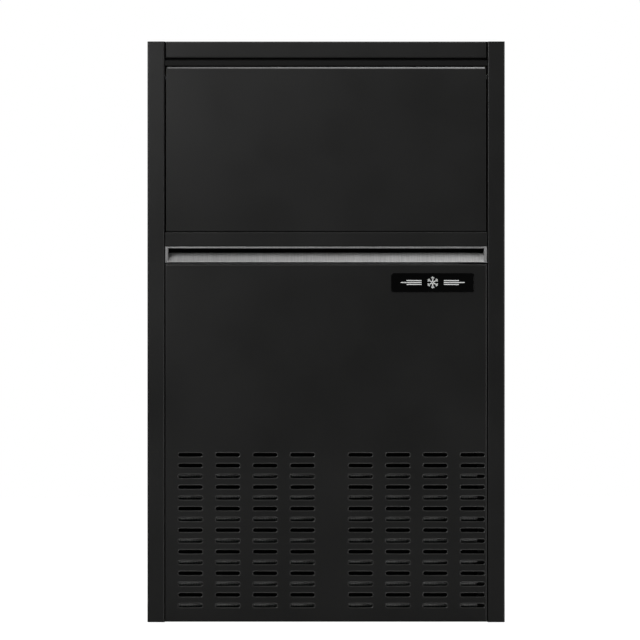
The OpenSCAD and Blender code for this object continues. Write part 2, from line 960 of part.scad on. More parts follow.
// Impeller housing, neck, motor and its cap, from the bottom up, with a nozzle and a wall bracket
module water_pump() {
    housing_r = 18;
    neck_r = 7;
    motor_r = 22;
    cap_r = 12;
    nozzle_r = 5;
    bracket = [10, 8];
    z = [trough_z[0] + trough_t + 2, 460, 494, 520, 525];
    color("#32383c") {
        rod_z(housing_r, z[0], z[1], pump_at[0], pump_at[1]);
        rod_z(neck_r, z[1], z[2], pump_at[0], pump_at[1]);
        rod_z(motor_r, z[2], z[3], pump_at[0], pump_at[1]);
        rod_z(cap_r, z[3], z[4], pump_at[0], pump_at[1]);
        rod_y(nozzle_r, hose_front_y, pump_at[1] - housing_r + 3, pump_at[0], pump_nozzle_z);
        box(
            [pump_at[0] - bracket[0] / 2, pump_at[1] + neck_r - 1, z[2] - bracket[1]],
            [pump_at[0] + bracket[0] / 2, liner_back_y - liner_t - nip, z[2]]
        );
    }
}

// A stem with a stop at its foot and a head that a bracket holds to the liner
module float_stem() {
    head_r = 7;
    foot_r = 5;
    z = [trough_z[0] + trough_t + nip, trough_z[0] + trough_t + 2, 500, 512];
    bracket_z = [505, 509];
    color("#f2f2f0") {
        rod_z(foot_r, z[0], z[1], float_at[0], float_at[1]);
        rod_z(stem_r, z[1], z[2], float_at[0], float_at[1]);
        rod_z(head_r, z[2], z[3], float_at[0], float_at[1]);
        box(
            [float_at[0] - foot_r, float_at[1], bracket_z[0]],
            [float_at[0] + foot_r, liner_back_y - liner_t - nip, bracket_z[1]]
        );
    }
}

module float() {
    float_z = trough_z[0] + trough_t + 2.3;
    float_h = 17.7;
    color("#2f6fae")
        difference() {
            rod_z(float_r, float_z, float_z + float_h, float_at[0], float_at[1]);
            rod_z(stem_r + 0.3, trough_z[0], 500, float_at[0], float_at[1]);
        }
}

// ---- Refrigeration unit, under the bin ----

condenser_tube_pitch = 27.2;
condenser_low_z = 22.2;
condenser_tube_r = 4;
condenser_port_y = condenser_y[1] - 6;

module condenser_core() {
    color("#8e9294")
        box(
            [-condenser_half_w, condenser_y[0], condenser_z[0]],
            [condenser_half_w, condenser_y[1], condenser_z[1]]
        );
}

module condenser_plates() {
    color("#b4b7b8")
        for (side = [-1, 1])
            box_mirrored(
                side,
                [condenser_half_w, condenser_y[0] + seam + nip, pan_t],
                [condenser_half_w + condenser_plate_t, condenser_y[1], condenser_z[1]]
            );
}

module condenser_bends() {
    x = condenser_half_w + condenser_plate_t;
    color("#b4734a")
        for (side = [-1, 1], row = [0:1], i = [0:2]) {
            z = condenser_low_z + (2 * i + (side > 0 ? 0.5 : 1.5)) * condenser_tube_pitch;
            translate([side * x, condenser_y[0] + 10 + row * 18, z])
                rotate([90, side > 0 ? 90 : -90, 0])
                    condenser_bend();
        }
}

// A flattened return bend: half of a small ring, as wide as the tubes are apart
module condenser_bend() {
    reach = 6;
    for (end = [-1, 1])
        translate([end * condenser_tube_pitch / 2, 0, 0])
            rotate([-90, 0, 0])
                cylinder(h = reach, r = condenser_tube_r);
    translate([-condenser_tube_pitch / 2 - condenser_tube_r, reach, 0])
        rotate([0, 90, 0])
            cylinder(h = condenser_tube_pitch + 2 * condenser_tube_r, r = condenser_tube_r);
}

module fan_shroud() {
    ring_r = fan_d / 2 + 4;
    wall = 1.2;
    color("#35383a")
        difference() {
            union() {
                box(
                    [-condenser_half_w, condenser_y[1] + nip, condenser_z[0]],
                    [condenser_half_w, shroud_y, condenser_z[1]]
                );
                rod_y(ring_r + wall, shroud_y, shroud_y + 14, fan_at[0], fan_at[1]);
            }
            box(
                [-condenser_half_w + wall, condenser_y[1], condenser_z[0] + wall],
                [condenser_half_w - wall, shroud_y - wall, condenser_z[1] - wall]
            );
            rod_y(ring_r, shroud_y - 2 * wall, shroud_y + 15, fan_at[0], fan_at[1]);
        }
}

motor_y = shroud_y + 26;
fan_shaft_r = 3;

module fan_motor() {
    color("#55595c")
        difference() {
            union() {
                rod_y(32, motor_y, motor_y + 44, fan_at[0], fan_at[1]);
                rod_y(12, motor_y - 6, motor_y, fan_at[0], fan_at[1]);
            }
            rod_y(fan_shaft_r + run_gap, motor_y - 7, motor_y + 20, fan_at[0], fan_at[1]);
        }
}

module fan_bracket() {
    reach = 96;
    t = 3;
    color("#8b8f91")
        difference() {
            union() {
                rod_y(36, motor_y + 4, motor_y + 16, fan_at[0], fan_at[1]);
                for (side = [-1, 1])
                    box(
                        [fan_at[0] + side * reach - t / 2, shroud_y + nip, fan_at[1] - 10],
                        [fan_at[0] + side * reach + t / 2, motor_y + 12, fan_at[1] + 10]
                    );
                box(
                    [fan_at[0] - reach, motor_y + 9, fan_at[1] - 10],
                    [fan_at[0] + reach, motor_y + 12, fan_at[1] + 10]
                );
            }
            rod_y(32 + nip, motor_y, motor_y + 20, fan_at[0], fan_at[1]);
        }
}

module fan_shaft() {
    color("#c4c6c6") rod_y(fan_shaft_r, shroud_y - 12, motor_y + 18, fan_at[0], fan_at[1]);
}

module fan_blade() {
    blades = 5;
    hub_r = 20;
    pitch = 28;
    hub_y = [shroud_y - 10, shroud_y + 14];
    color("#1b1c1d")
        difference() {
            union() {
                rod_y(hub_r, hub_y[0], hub_y[1], fan_at[0], fan_at[1]);
                intersection() {
                    translate([fan_at[0], (hub_y[0] + hub_y[1]) / 2, fan_at[1]])
                        for (i = [0:blades - 1])
                            rotate([0, i * 360 / blades, 0])
                                translate([0, 0, hub_r - 4])
                                    rotate([0, 0, pitch])
                                        translate([-24, -1.2, 0]) cube([48, 2.4, fan_d]);
                    rod_y(fan_d / 2, hub_y[0] - 5, hub_y[1] + 5, fan_at[0], fan_at[1]);
                }
            }
            rod_y(fan_shaft_r, hub_y[0] - through, hub_y[1] + through, fan_at[0], fan_at[1]);
        }
}

module compressor() {
    plate_z = 16;
    weld_z = 95;
    dome_z = 150;
    dome_h = 44;
    foot = 68;
    stub_y = compressor_r + compressor_stub;
    color("#1d1e20") {
        translate([compressor_at[0], compressor_at[1], 0])
            rotate_extrude()
                polygon(concat(
                    [[0, plate_z + 3], [compressor_r - 8, plate_z + 3], [compressor_r, plate_z + 14]],
                    [[compressor_r, weld_z - 3], [compressor_r + 2, weld_z - 2]],
                    [[compressor_r + 2, weld_z + 2], [compressor_r, weld_z + 3]],
                    [for (a = [0:15:75]) [compressor_r * cos(a), dome_z + dome_h * sin(a)]],
                    [[0, dome_z + dome_h]]
                ));
        difference() {
            box(
                [compressor_at[0] - foot, compressor_at[1] - foot, plate_z],
                [compressor_at[0] + foot, compressor_at[1] + foot, plate_z + 3]
            );
            for (p = mount_places())
                rod_z(4.2, plate_z - through, plate_z + 4, p[0], p[1]);
        }
        rod_y(coil_r, compressor_at[1] + compressor_r - 6, compressor_at[1] + stub_y, suction_stub_x, stub_z);
        rod_y(
            discharge_r,
            compressor_at[1] - stub_y,
            compressor_at[1] - compressor_r + 8,
            discharge_stub_x,
            stub_z
        );
        box(
            [compressor_at[0] - compressor_r - 22, compressor_at[1] - 24, 78],
            [compressor_at[0] - compressor_r + 6, compressor_at[1] + 24, 138]
        );
    }
}

function mount_places() = [for (x = [-58, 58], y = [-58, 58]) [compressor_at[0] + x, compressor_at[1] + y]];

module compressor_mounts() {
    color("#2a2a2a")
        for (p = mount_places()) {
            difference() {
                rod_z(11, pan_t, 16, p[0], p[1]);
                rod_z(4.2, 0, 17, p[0], p[1]);
            }
            rod_z(4, pan_t, 24, p[0], p[1]);
            rod_z(8, 19, 24, p[0], p[1]);
        }
}

module filter_drier() {
    r = 11;
    neck = 4;
    length = drier_x[1] - drier_x[0];
    color("#b8764c")
        translate([drier_x[1], drier_y, drier_z])
            rotate([0, -90, 0])
                rotate_extrude()
                    polygon([
                        [0, 0],
                        [neck, 0],
                        [neck, 6],
                        [r, 18],
                        [r, length - 18],
                        [neck, length - 6],
                        [neck, length],
                        [0, length]
                    ]);
}

module refrigerant_lines() {
    side_x = 210;
    end_x = frame_x[1] + 2;
    port_x = condenser_half_w + condenser_plate_t;
    suction_y = 164;
    stub_y = compressor_r + compressor_stub;
    color("#c07d50") {
        // Suction line, from the top of the evaporator to the compressor
        pipe(
            [
                [end_x, coil_y, suction_z],
                [suction_x, coil_y, suction_z],
                [suction_x, suction_y, suction_z],
                [suction_x, suction_y, stub_z],
                [suction_stub_x, suction_y, stub_z],
                [suction_stub_x, compressor_at[1] + stub_y, stub_z]
            ],
            coil_r,
            12
        );
        // Liquid line, from the filter drier to the bottom of the evaporator
        pipe(
            [
                [end_x, coil_y, coil_z],
                [liquid_x, coil_y, coil_z],
                [liquid_x, drier_y, coil_z],
                [liquid_x, drier_y, drier_z],
                [drier_x[1], drier_y, drier_z]
            ],
            liquid_r,
            10
        );
        // From the condenser to the filter drier
        pipe(
            [
                [drier_x[0], drier_y, drier_z],
                [-side_x, drier_y, drier_z],
                [-side_x, condenser_port_y, drier_z],
                [-port_x, condenser_port_y, drier_z]
            ],
            liquid_r,
            9
        );
        // Discharge line, from the compressor to the condenser
        pipe(
            [
                [discharge_stub_x, compressor_at[1] - stub_y, stub_z],
                [discharge_stub_x, -60, stub_z],
                [side_x, -60, stub_z],
                [side_x, condenser_port_y, stub_z],
                [port_x, condenser_port_y, stub_z]
            ],
            discharge_r,
            9
        );
    }
}

// ---- Water, drain and power connections ----

module water_inlet_valve() {
    flange_y = back_y - 4;
    flange_r = 18;
    inlet_r = 13.2;
    color("#e8eaec") {
        difference() {
            union() {
                rod_y(inlet_r, back_y + collar_t, back_y + fitting_reach - 2, valve_at[0], valve_at[1]);
                rod_y(inlet_r - 0.4, flange_y, back_y + collar_t, valve_at[0], valve_at[1]);
                for (y = [flange_y - 3, back_y])
                    rod_y(flange_r, y, y + collar_t, valve_at[0], valve_at[1]);
            }
            rod_y(inlet_r - 3.2, back_y, back_y + fitting_reach, valve_at[0], valve_at[1]);
        }
        rod_y(11, flange_y - 30, flange_y - 3, valve_at[0], valve_at[1]);
        rod_z(5, valve_at[1] + 6, 205, inlet_x, flange_y - 16);
        rod_z(12, 128, valve_at[1] - 6, valve_at[0] - 2, flange_y - 16);
    }
}

// From the inlet valve to the trough, from the pump to the distribution tube, and the bin's drain
module water_hoses() {
    inlet_y = back_y - 20;
    over_trough_y = 105;
    color("#cfd8da") {
        pipe(
            [
                [inlet_x, inlet_y, 205],
                [inlet_x, inlet_y, inlet_z],
                [inlet_x, over_trough_y, inlet_z],
                [inlet_x, over_trough_y, trough_z[1] + 8]
            ],
            5,
            12
        );
        pipe(
            [
                [pump_at[0], hose_front_y, pump_nozzle_z],
                [pump_at[0], tube_y, pump_nozzle_z],
                [pump_at[0], tube_y, tube_z],
                [frame_x[1] + 6, tube_y, tube_z]
            ],
            6,
            10
        );
        pipe(
            [
                [drain_at[0], drain_at[1], board_z - 12],
                [drain_at[0], drain_at[1], drain_z],
                [drain_at[0], back_y - 10, drain_z]
            ],
            9,
            20
        );
    }
}

module drain_outlet() {
    spigot_r = 10;
    collar_r = 16;
    bore_r = 7.5;
    inside_y = back_y - 10;
    color("#f0f0ee")
        difference() {
            union() {
                rod_y(collar_r, back_y, back_y + collar_t, drain_at[0], drain_z);
                rod_y(spigot_r, back_y + collar_t, back_y + fitting_reach, drain_at[0], drain_z);
                rod_y(spigot_r - 0.4, inside_y, back_y + collar_t, drain_at[0], drain_z);
            }
            rod_y(bore_r, inside_y - through, back_y + fitting_reach + through, drain_at[0], drain_z);
        }
}

// A steel box with the circuit board inside it
// A folded tray with two ends, a folded cover over it, and the board on the tray
module control_box() {
    low = [-140, 4, 118];
    high = [-24, 108, 214];
    wall = 1.5;
    board_low = low + [6, 8, 10];
    board_high = [high[0] - 6, high[1] - 8, board_low[2] + 1.6];
    color("#a9adb0") {
        difference() {
            box(low, high - [0, 0, wall + nip]);
            box(low + [wall, -through, wall], high + [-wall, through, through]);
        }
        difference() {
            box(low + [wall + nip, 0, wall + nip], high - [wall + nip, 0, 0]);
            box(low + [-through, wall, -through], high + [through, -wall, -wall]);
        }
    }
    color("#2c6b3f") box(board_low, board_high);
}

// A threaded body through the back panel, a six-sided nut on each side of it, and a dome
module cord_gland() {
    body_r = 8;
    dome_r = 9.5;
    nut_r = 12;
    nut_t = 5;
    bore = 4.2;
    y = [back_y - 14, back_y + 15];
    color("#1a1a1a")
        difference() {
            union() {
                rod_y(body_r, y[0], back_y + 2, gland_at[0], gland_at[1]);
                rod_y(dome_r, back_y + nut_t, y[1], gland_at[0], gland_at[1]);
                for (nut_end_y = [back_y + nut_t, back_y - sheet_t - nip])
                    translate([gland_at[0], nut_end_y, gland_at[1]])
                        rotate([90, 0, 0])
                            cylinder(h = nut_t, r = nut_r, $fn = 6);
            }
            rod_y(bore, y[0] - through, y[1] + through, gland_at[0], gland_at[1]);
        }
}

left_side_panel();
right_side_panel();
top_cover();
back_panel();
base_pan();
lower_front_panel();
badge_plate();
header_rail();
front_mid_rail();
leg_sockets();
panel_screws();
bin_insulation();
top_insulation();
bin_liner();
bin_drain();
control_fascia();
display_window();
start_button();
clean_button();
light_button();
rocker_housing();
power_rocker();
hinge_pins();
door_front_panel();
door_lower_rail();
door_pull();
pull_end_caps();
door_foam();
door_liner();
door_gasket();
door_bushes();
evaporator_grid();
evaporator_coil();
evaporator_frame();
distribution_tube();
water_curtain();
water_trough();
ice_chute();
water_pump();
water_hoses();
float_stem();
float();
ice_level_probe();
bin_deck();
condenser_core();
condenser_plates();
condenser_bends();
fan_shroud();
fan_motor();
fan_bracket();
fan_shaft();
fan_blade();
compressor();
compressor_mounts();
filter_drier();
refrigerant_lines();
water_inlet_valve();
drain_outlet();
control_box();
cord_gland();
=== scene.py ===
import json
import math

import bmesh
import bpy
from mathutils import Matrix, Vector
from mathutils.geometry import tessellate_polygon


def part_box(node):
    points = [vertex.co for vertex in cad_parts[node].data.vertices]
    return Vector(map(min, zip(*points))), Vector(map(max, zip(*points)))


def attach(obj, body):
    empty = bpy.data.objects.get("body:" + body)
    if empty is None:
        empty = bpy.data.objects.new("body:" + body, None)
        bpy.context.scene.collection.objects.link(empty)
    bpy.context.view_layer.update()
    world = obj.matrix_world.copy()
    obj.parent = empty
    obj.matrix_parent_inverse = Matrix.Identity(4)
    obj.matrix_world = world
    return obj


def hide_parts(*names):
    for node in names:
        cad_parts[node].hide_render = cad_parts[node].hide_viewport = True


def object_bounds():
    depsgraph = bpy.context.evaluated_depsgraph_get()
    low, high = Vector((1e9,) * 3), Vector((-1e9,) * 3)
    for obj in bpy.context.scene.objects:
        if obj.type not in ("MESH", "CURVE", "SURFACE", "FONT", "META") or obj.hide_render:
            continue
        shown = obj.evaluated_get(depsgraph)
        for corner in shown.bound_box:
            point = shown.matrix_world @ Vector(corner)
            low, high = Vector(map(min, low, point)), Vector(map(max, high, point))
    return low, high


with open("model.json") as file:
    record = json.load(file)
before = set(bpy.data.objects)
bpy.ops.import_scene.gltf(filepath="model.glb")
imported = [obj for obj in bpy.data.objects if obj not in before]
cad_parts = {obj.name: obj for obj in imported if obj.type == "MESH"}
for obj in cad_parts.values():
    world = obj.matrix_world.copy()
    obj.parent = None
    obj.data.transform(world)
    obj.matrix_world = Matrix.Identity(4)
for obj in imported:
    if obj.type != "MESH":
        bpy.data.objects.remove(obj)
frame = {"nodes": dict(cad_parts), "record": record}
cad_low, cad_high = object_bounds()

MM = 0.001
WELD = 1e-6
BODY_OF = {
    node: body
    for body, nodes in frame["record"]["behaviour"]["bodies"].items()
    for node in nodes
}

# ---- Camera: level, far away, and a little to the left of the middle ----

SENSOR_MM = 36
VIEW_W = 0.8020
VIEW_DISTANCE = 4.5
VIEW_CENTRE = (-0.00764, 0.3788)
VIEW_END = 60


def make_camera():
    data = bpy.data.cameras.new("camera")
    data.sensor_width = SENSOR_MM
    data.lens = SENSOR_MM * VIEW_DISTANCE / VIEW_W
    data.clip_end = VIEW_END
    camera = bpy.data.objects.new("camera", data)
    camera.location = (VIEW_CENTRE[0], cad_low.y - VIEW_DISTANCE, VIEW_CENTRE[1])
    camera.rotation_euler = (math.radians(90), 0, 0)
    bpy.context.collection.objects.link(camera)
    bpy.context.scene.camera = camera


# ---- Light, floor and background ----

# Each light's name, place, target, size and power
LIGHTS = [
    ("key", (-2.2, -3.0, 3.0), (0, 0, 0.45), (2.0, 2.0), 28),
    ("near_left", (-0.9, -1.5, 1.25), (-0.1, -0.2, 0.6), (0.6, 0.8), 17),
    ("over_front", (1.3, -1.8, 2.7), (0, -0.2, 0.5), (1.6, 0.7), 18),
    ("fill", (2.9, -2.6, 0.3), (0, 0, 0.3), (1.2, 0.5), 24),
    ("top", (0.2, 0.4, 3.6), (0, 0, 0.3), (3.0, 2.4), 70),
    ("back_left", (-2.8, 2.8, 2.2), (0, 0, 0.35), (2.0, 2.0), 70),
    ("back_right", (2.6, 3.0, 2.4), (0, 0, 0.35), (2.0, 2.0), 70),
]
SKY_TONE = (0.97, 0.98, 1, 1)
SKY_STRENGTH = 0.07
FLOOR_TONE = (0.24, 0.24, 0.24)
FLOOR_GLOW = 0.88


def area_light(name, place, target, size, power):
    data = bpy.data.lights.new(name, "AREA")
    data.shape = "RECTANGLE"
    data.size, data.size_y = size
    data.energy = power
    light = bpy.data.objects.new(name, data)
    light.location = place
    light.rotation_euler = (Vector(target) - Vector(place)).to_track_quat("-Z", "Y").to_euler()
    light.visible_camera = False
    bpy.context.collection.objects.link(light)


def make_world():
    """White to the eye, and a dim even sky to everything else."""
    world = bpy.data.worlds.new("studio")
    world.use_nodes = True
    nodes, links = world.node_tree.nodes, world.node_tree.links
    nodes.clear()
    seen = nodes.new("ShaderNodeBackground")
    seen.inputs["Color"].default_value = (1, 1, 1, 1)
    seen.inputs["Strength"].default_value = 1.0
    sky = nodes.new("ShaderNodeBackground")
    sky.inputs["Color"].default_value = SKY_TONE
    sky.inputs["Strength"].default_value = SKY_STRENGTH
    path = nodes.new("ShaderNodeLightPath")
    mix = nodes.new("ShaderNodeMixShader")
    out = nodes.new("ShaderNodeOutputWorld")
    links.new(path.outputs["Is Camera Ray"], mix.inputs[0])
    links.new(sky.outputs[0], mix.inputs[1])
    links.new(seen.outputs[0], mix.inputs[2])
    links.new(mix.outputs[0], out.inputs["Surface"])
    bpy.context.scene.world = world


def make_floor():
    """A pale disc that fades into the white background all round."""
    radius, fade_from, fade_to = 3.0, 0.7, 2.2
    bm = bmesh.new()
    bmesh.ops.create_circle(bm, cap_ends=True, radius=radius, segments=96)
    mesh = bpy.data.meshes.new("floor")
    bm.to_mesh(mesh)
    bm.free()
    floor = bpy.data.objects.new("floor", mesh)
    bpy.context.collection.objects.link(floor)
    f = Finish("floor_paint", Roughness=0.9, Specular_IOR_Level=0.05)
    f.shader.inputs["Emission Color"].default_value = (1, 1, 1, 1)
    length = f.nodes.new("ShaderNodeVectorMath")
    length.operation = "LENGTH"
    f.links.new(f.coords.outputs["Object"], length.inputs[0])
    away = f.span(length.outputs["Value"], 0.0, 1.0, fade_from, fade_to)
    f.colour(f.ramp(away, [(0, FLOOR_TONE), (1, (0, 0, 0))]))
    path = f.nodes.new("ShaderNodeLightPath")
    glow = f.nodes.new("ShaderNodeMath")
    glow.operation = "MULTIPLY"
    f.links.new(path.outputs["Is Camera Ray"], glow.inputs[0])
    f.links.new(f.span(away, FLOOR_GLOW, 1.0, 0.0, 1.0), glow.inputs[1])
    f.links.new(glow.outputs[0], f.shader.inputs["Emission Strength"])
    mesh.materials.append(f.material)


# ---- Materials ----

ALONG_X = (1, 0.03, 0.03)
# How far either side of the middle the painted shade along X runs
PAINTED_SHADE_REACH = 0.2
WEAR_REACH = 0.0012


class Finish:
    """A Principled material, with helpers for the patterns that drive its sockets."""

    def __init__(self, name, **sockets):
        self.material = bpy.data.materials.new(name)
        self.material.use_nodes = True
        self.nodes = self.material.node_tree.nodes
        self.links = self.material.node_tree.links
        self.shader = self.nodes["Principled BSDF"]
        self.coords = self.nodes.new("ShaderNodeTexCoord")
        for socket, value in sockets.items():
            self.shader.inputs[socket.replace("_", " ")].default_value = value

    def place(self, stretch):
        mapping = self.nodes.new("ShaderNodeMapping")
        mapping.inputs["Scale"].default_value = stretch
        self.links.new(self.coords.outputs["Object"], mapping.inputs["Vector"])
        return mapping.outputs["Vector"]

    def noise(self, scale, stretch=(1, 1, 1), detail=3.0, roughness=0.55):
        node = self.nodes.new("ShaderNodeTexNoise")
        node.inputs["Scale"].default_value = scale
        node.inputs["Detail"].default_value = detail
        node.inputs["Roughness"].default_value = roughness
        self.links.new(self.place(stretch), node.inputs["Vector"])
        return node.outputs["Fac"]

    def cells(self, scale, output="Distance"):
        node = self.nodes.new("ShaderNodeTexVoronoi")
        node.inputs["Scale"].default_value = scale
        self.links.new(self.place((1, 1, 1)), node.inputs["Vector"])
        return node.outputs[output]

    def ramp(self, value, stops):
        """Maps a pattern to colours: stops are (position, colour)."""
        node = self.nodes.new("ShaderNodeValToRGB")
        elements = node.color_ramp.elements
        for element, (at, colour) in zip(elements, stops):
            element.position, element.color = at, (*colour, 1)
        for at, colour in stops[2:]:
            element = elements.new(at)
            element.color = (*colour, 1)
        self.links.new(value, node.inputs["Fac"])
        return node.outputs["Color"]

    def blend(self, factor, a, b):
        node = self.nodes.new("ShaderNodeMix")
        node.data_type = "RGBA"
        self.links.new(factor, node.inputs[0])
        for socket, value in ((node.inputs[6], a), (node.inputs[7], b)):
            if isinstance(value, tuple):
                socket.default_value = (*value, 1)
            else:
                self.links.new(value, socket)
        return node.outputs[2]

    def span(self, value, low, high, from_low=0.3, from_high=0.7):
        node = self.nodes.new("ShaderNodeMapRange")
        for socket, number in zip(
            ("From Min", "From Max", "To Min", "To Max"), (from_low, from_high, low, high)
        ):
            node.inputs[socket].default_value = number
        self.links.new(value, node.inputs["Value"])
        return node.outputs["Result"]

    def colour(self, value):
        self.links.new(value, self.shader.inputs["Base Color"])

    def rough(self, value):
        self.links.new(value, self.shader.inputs["Roughness"])

    def bump(self, *layers):
        """Adds bumps: each layer is (pattern, strength, height in metres)."""
        normal = None
        for value, strength, height in layers:
            node = self.nodes.new("ShaderNodeBump")
            node.inputs["Strength"].default_value = strength
            node.inputs["Distance"].default_value = height
            self.links.new(value, node.inputs["Height"])
            if normal is not None:
                self.links.new(normal, node.inputs["Normal"])
            normal = node.outputs["Normal"]
        self.links.new(normal, self.shader.inputs["Normal"])

    def edges(self):
        """1 along the bent and cut edges of the sheet, and 0 on its flat faces."""
        bevel = self.nodes.new("ShaderNodeBevel")
        bevel.samples = 4
        bevel.inputs["Radius"].default_value = WEAR_REACH
        geometry = self.nodes.new("ShaderNodeNewGeometry")
        dot = self.nodes.new("ShaderNodeVectorMath")
        dot.operation = "DOT_PRODUCT"
        self.links.new(bevel.outputs["Normal"], dot.inputs[0])
        self.links.new(geometry.outputs["Normal"], dot.inputs[1])
        return self.span(dot.outputs["Value"], 1.0, 0.0, 0.86, 0.995)


def powder_coat(name, dark, light, rough=(0.38, 0.46), worn=(0.03, 0.03, 0.029), shine=0.4):
    """Satin powder coat: slow drift of tone, orange peel, fine speckle, and edges rubbed paler."""
    fine = 2600
    f = Finish(name, Specular_IOR_Level=shine)
    drift = f.ramp(f.noise(2.2, detail=2), [(0.35, dark), (0.65, light)])
    speckle = f.span(f.noise(fine, detail=1), 0.0, 0.3, 0.55, 0.8)
    speckled = f.blend(speckle, drift, tuple(1.8 * c for c in light))
    rub = f.nodes.new("ShaderNodeMath")
    rub.operation = "MULTIPLY"
    f.links.new(f.edges(), rub.inputs[0])
    f.links.new(f.span(f.noise(60, detail=4), 0.15, 0.8, 0.4, 0.7), rub.inputs[1])
    f.colour(f.blend(rub.outputs[0], speckled, worn))
    f.rough(f.span(f.noise(9, detail=5), *rough))
    f.bump((f.noise(420, detail=2), 0.14, 0.00016), (f.noise(fine, detail=1), 0.1, 0.00005))
    return f.material


def brushed_metal(
    name, dark, light, across, rough=(0.3, 0.42), streaks=900, metallic=1.0, left_shaded_tone=1.0
):
    """Metal brushed along one axis: the grain is fine across it and long along it.

    Its tone may be darkened towards the left as painted shade, from left_shaded_tone at the left to
    1 at the right."""
    f = Finish(name, Metallic=metallic, Anisotropic=0.35)
    grain = f.noise(streaks, stretch=across, detail=6, roughness=0.7)
    broad = f.noise(streaks / 9, stretch=across, detail=3)
    tone = f.ramp(grain, [(0.3, dark), (0.7, light)])
    drawn = f.blend(f.span(broad, 0.0, 0.45), tone, tuple(0.82 * c for c in light))
    # Painted shade: the colour darkens towards the left
    if left_shaded_tone < 1:
        axes = f.nodes.new("ShaderNodeSeparateXYZ")
        f.links.new(f.coords.outputs["Object"], axes.inputs[0])
        shade = f.span(axes.outputs["X"], 1 - left_shaded_tone, 0.0, -PAINTED_SHADE_REACH, PAINTED_SHADE_REACH)
        drawn = f.blend(shade, drawn, (0.0, 0.0, 0.0))
    f.colour(drawn)
    f.rough(f.span(broad, *rough))
    f.bump((grain, 0.35, 0.00008))
    return f.material


def spangled_metal(name, dark, light, rough=(0.34, 0.5)):
    """Galvanised sheet: patches of crystal, each with its own tone."""
    f = Finish(name, Metallic=0.9)
    patches = f.cells(130, output="Color")
    tone = f.ramp(patches, [(0.2, dark), (0.8, light)])
    stain = f.span(f.noise(14, detail=5), 0.0, 0.35)
    f.colour(f.blend(stain, tone, tuple(0.6 * c for c in light)))
    f.rough(f.span(patches, *rough, 0.0, 1.0))
    f.bump((f.noise(700, detail=3), 0.12, 0.0001))
    return f.material


def plain_metal(name, dark, light, rough=(0.25, 0.4), tarnish=None):
    """Drawn or plated metal with a cloudy tone and fine handling marks."""
    f = Finish(name, Metallic=1.0)
    tone = f.ramp(f.noise(45, detail=5), [(0.3, dark), (0.7, light)])
    marks = f.span(f.noise(18, detail=6, roughness=0.7), 0.0, 0.8, 0.5, 0.72)
    f.colour(f.blend(marks, tone, tarnish or tuple(0.7 * c for c in dark)))
    f.rough(f.span(f.noise(90, detail=5), *rough))
    f.bump((f.noise(1500, detail=2), 0.1, 0.00005))
    return f.material


def moulded(name, dark, light, rough=(0.35, 0.5), texture=2200, depth=0.00006, **sockets):
    """Moulded plastic or rubber: faint flow marks, a fine surface texture, soft scuffs."""
    f = Finish(name, **sockets)
    tone = f.ramp(f.noise(12, detail=4), [(0.3, dark), (0.7, light)])
    scuff = f.span(f.noise(70, stretch=(1, 1, 0.2), detail=6, roughness=0.75), 0.0, 0.25, 0.6, 0.8)
    f.colour(f.blend(scuff, tone, tuple(min(1, 0.5 * (a + b) * 1.15) for a, b in zip(dark, light))))
    f.rough(f.span(f.noise(55, detail=4), *rough))
    f.bump((f.noise(texture, detail=2), 0.3, depth), (f.noise(30, detail=2), 0.06, 0.0004))
    return f.material


def foamed(name, dark, light):
    """Cut rigid foam: open cells and a warm, uneven tone."""
    f = Finish(name)
    pores = f.cells(520)
    tone = f.ramp(f.noise(16, detail=5), [(0.3, dark), (0.7, light)])
    f.colour(f.blend(f.span(pores, 0.5, 0.0, 0.0, 0.45), tone, tuple(0.7 * c for c in dark)))
    f.rough(f.span(pores, 0.8, 0.95))
    f.bump((pores, 0.5, 0.0006))
    return f.material


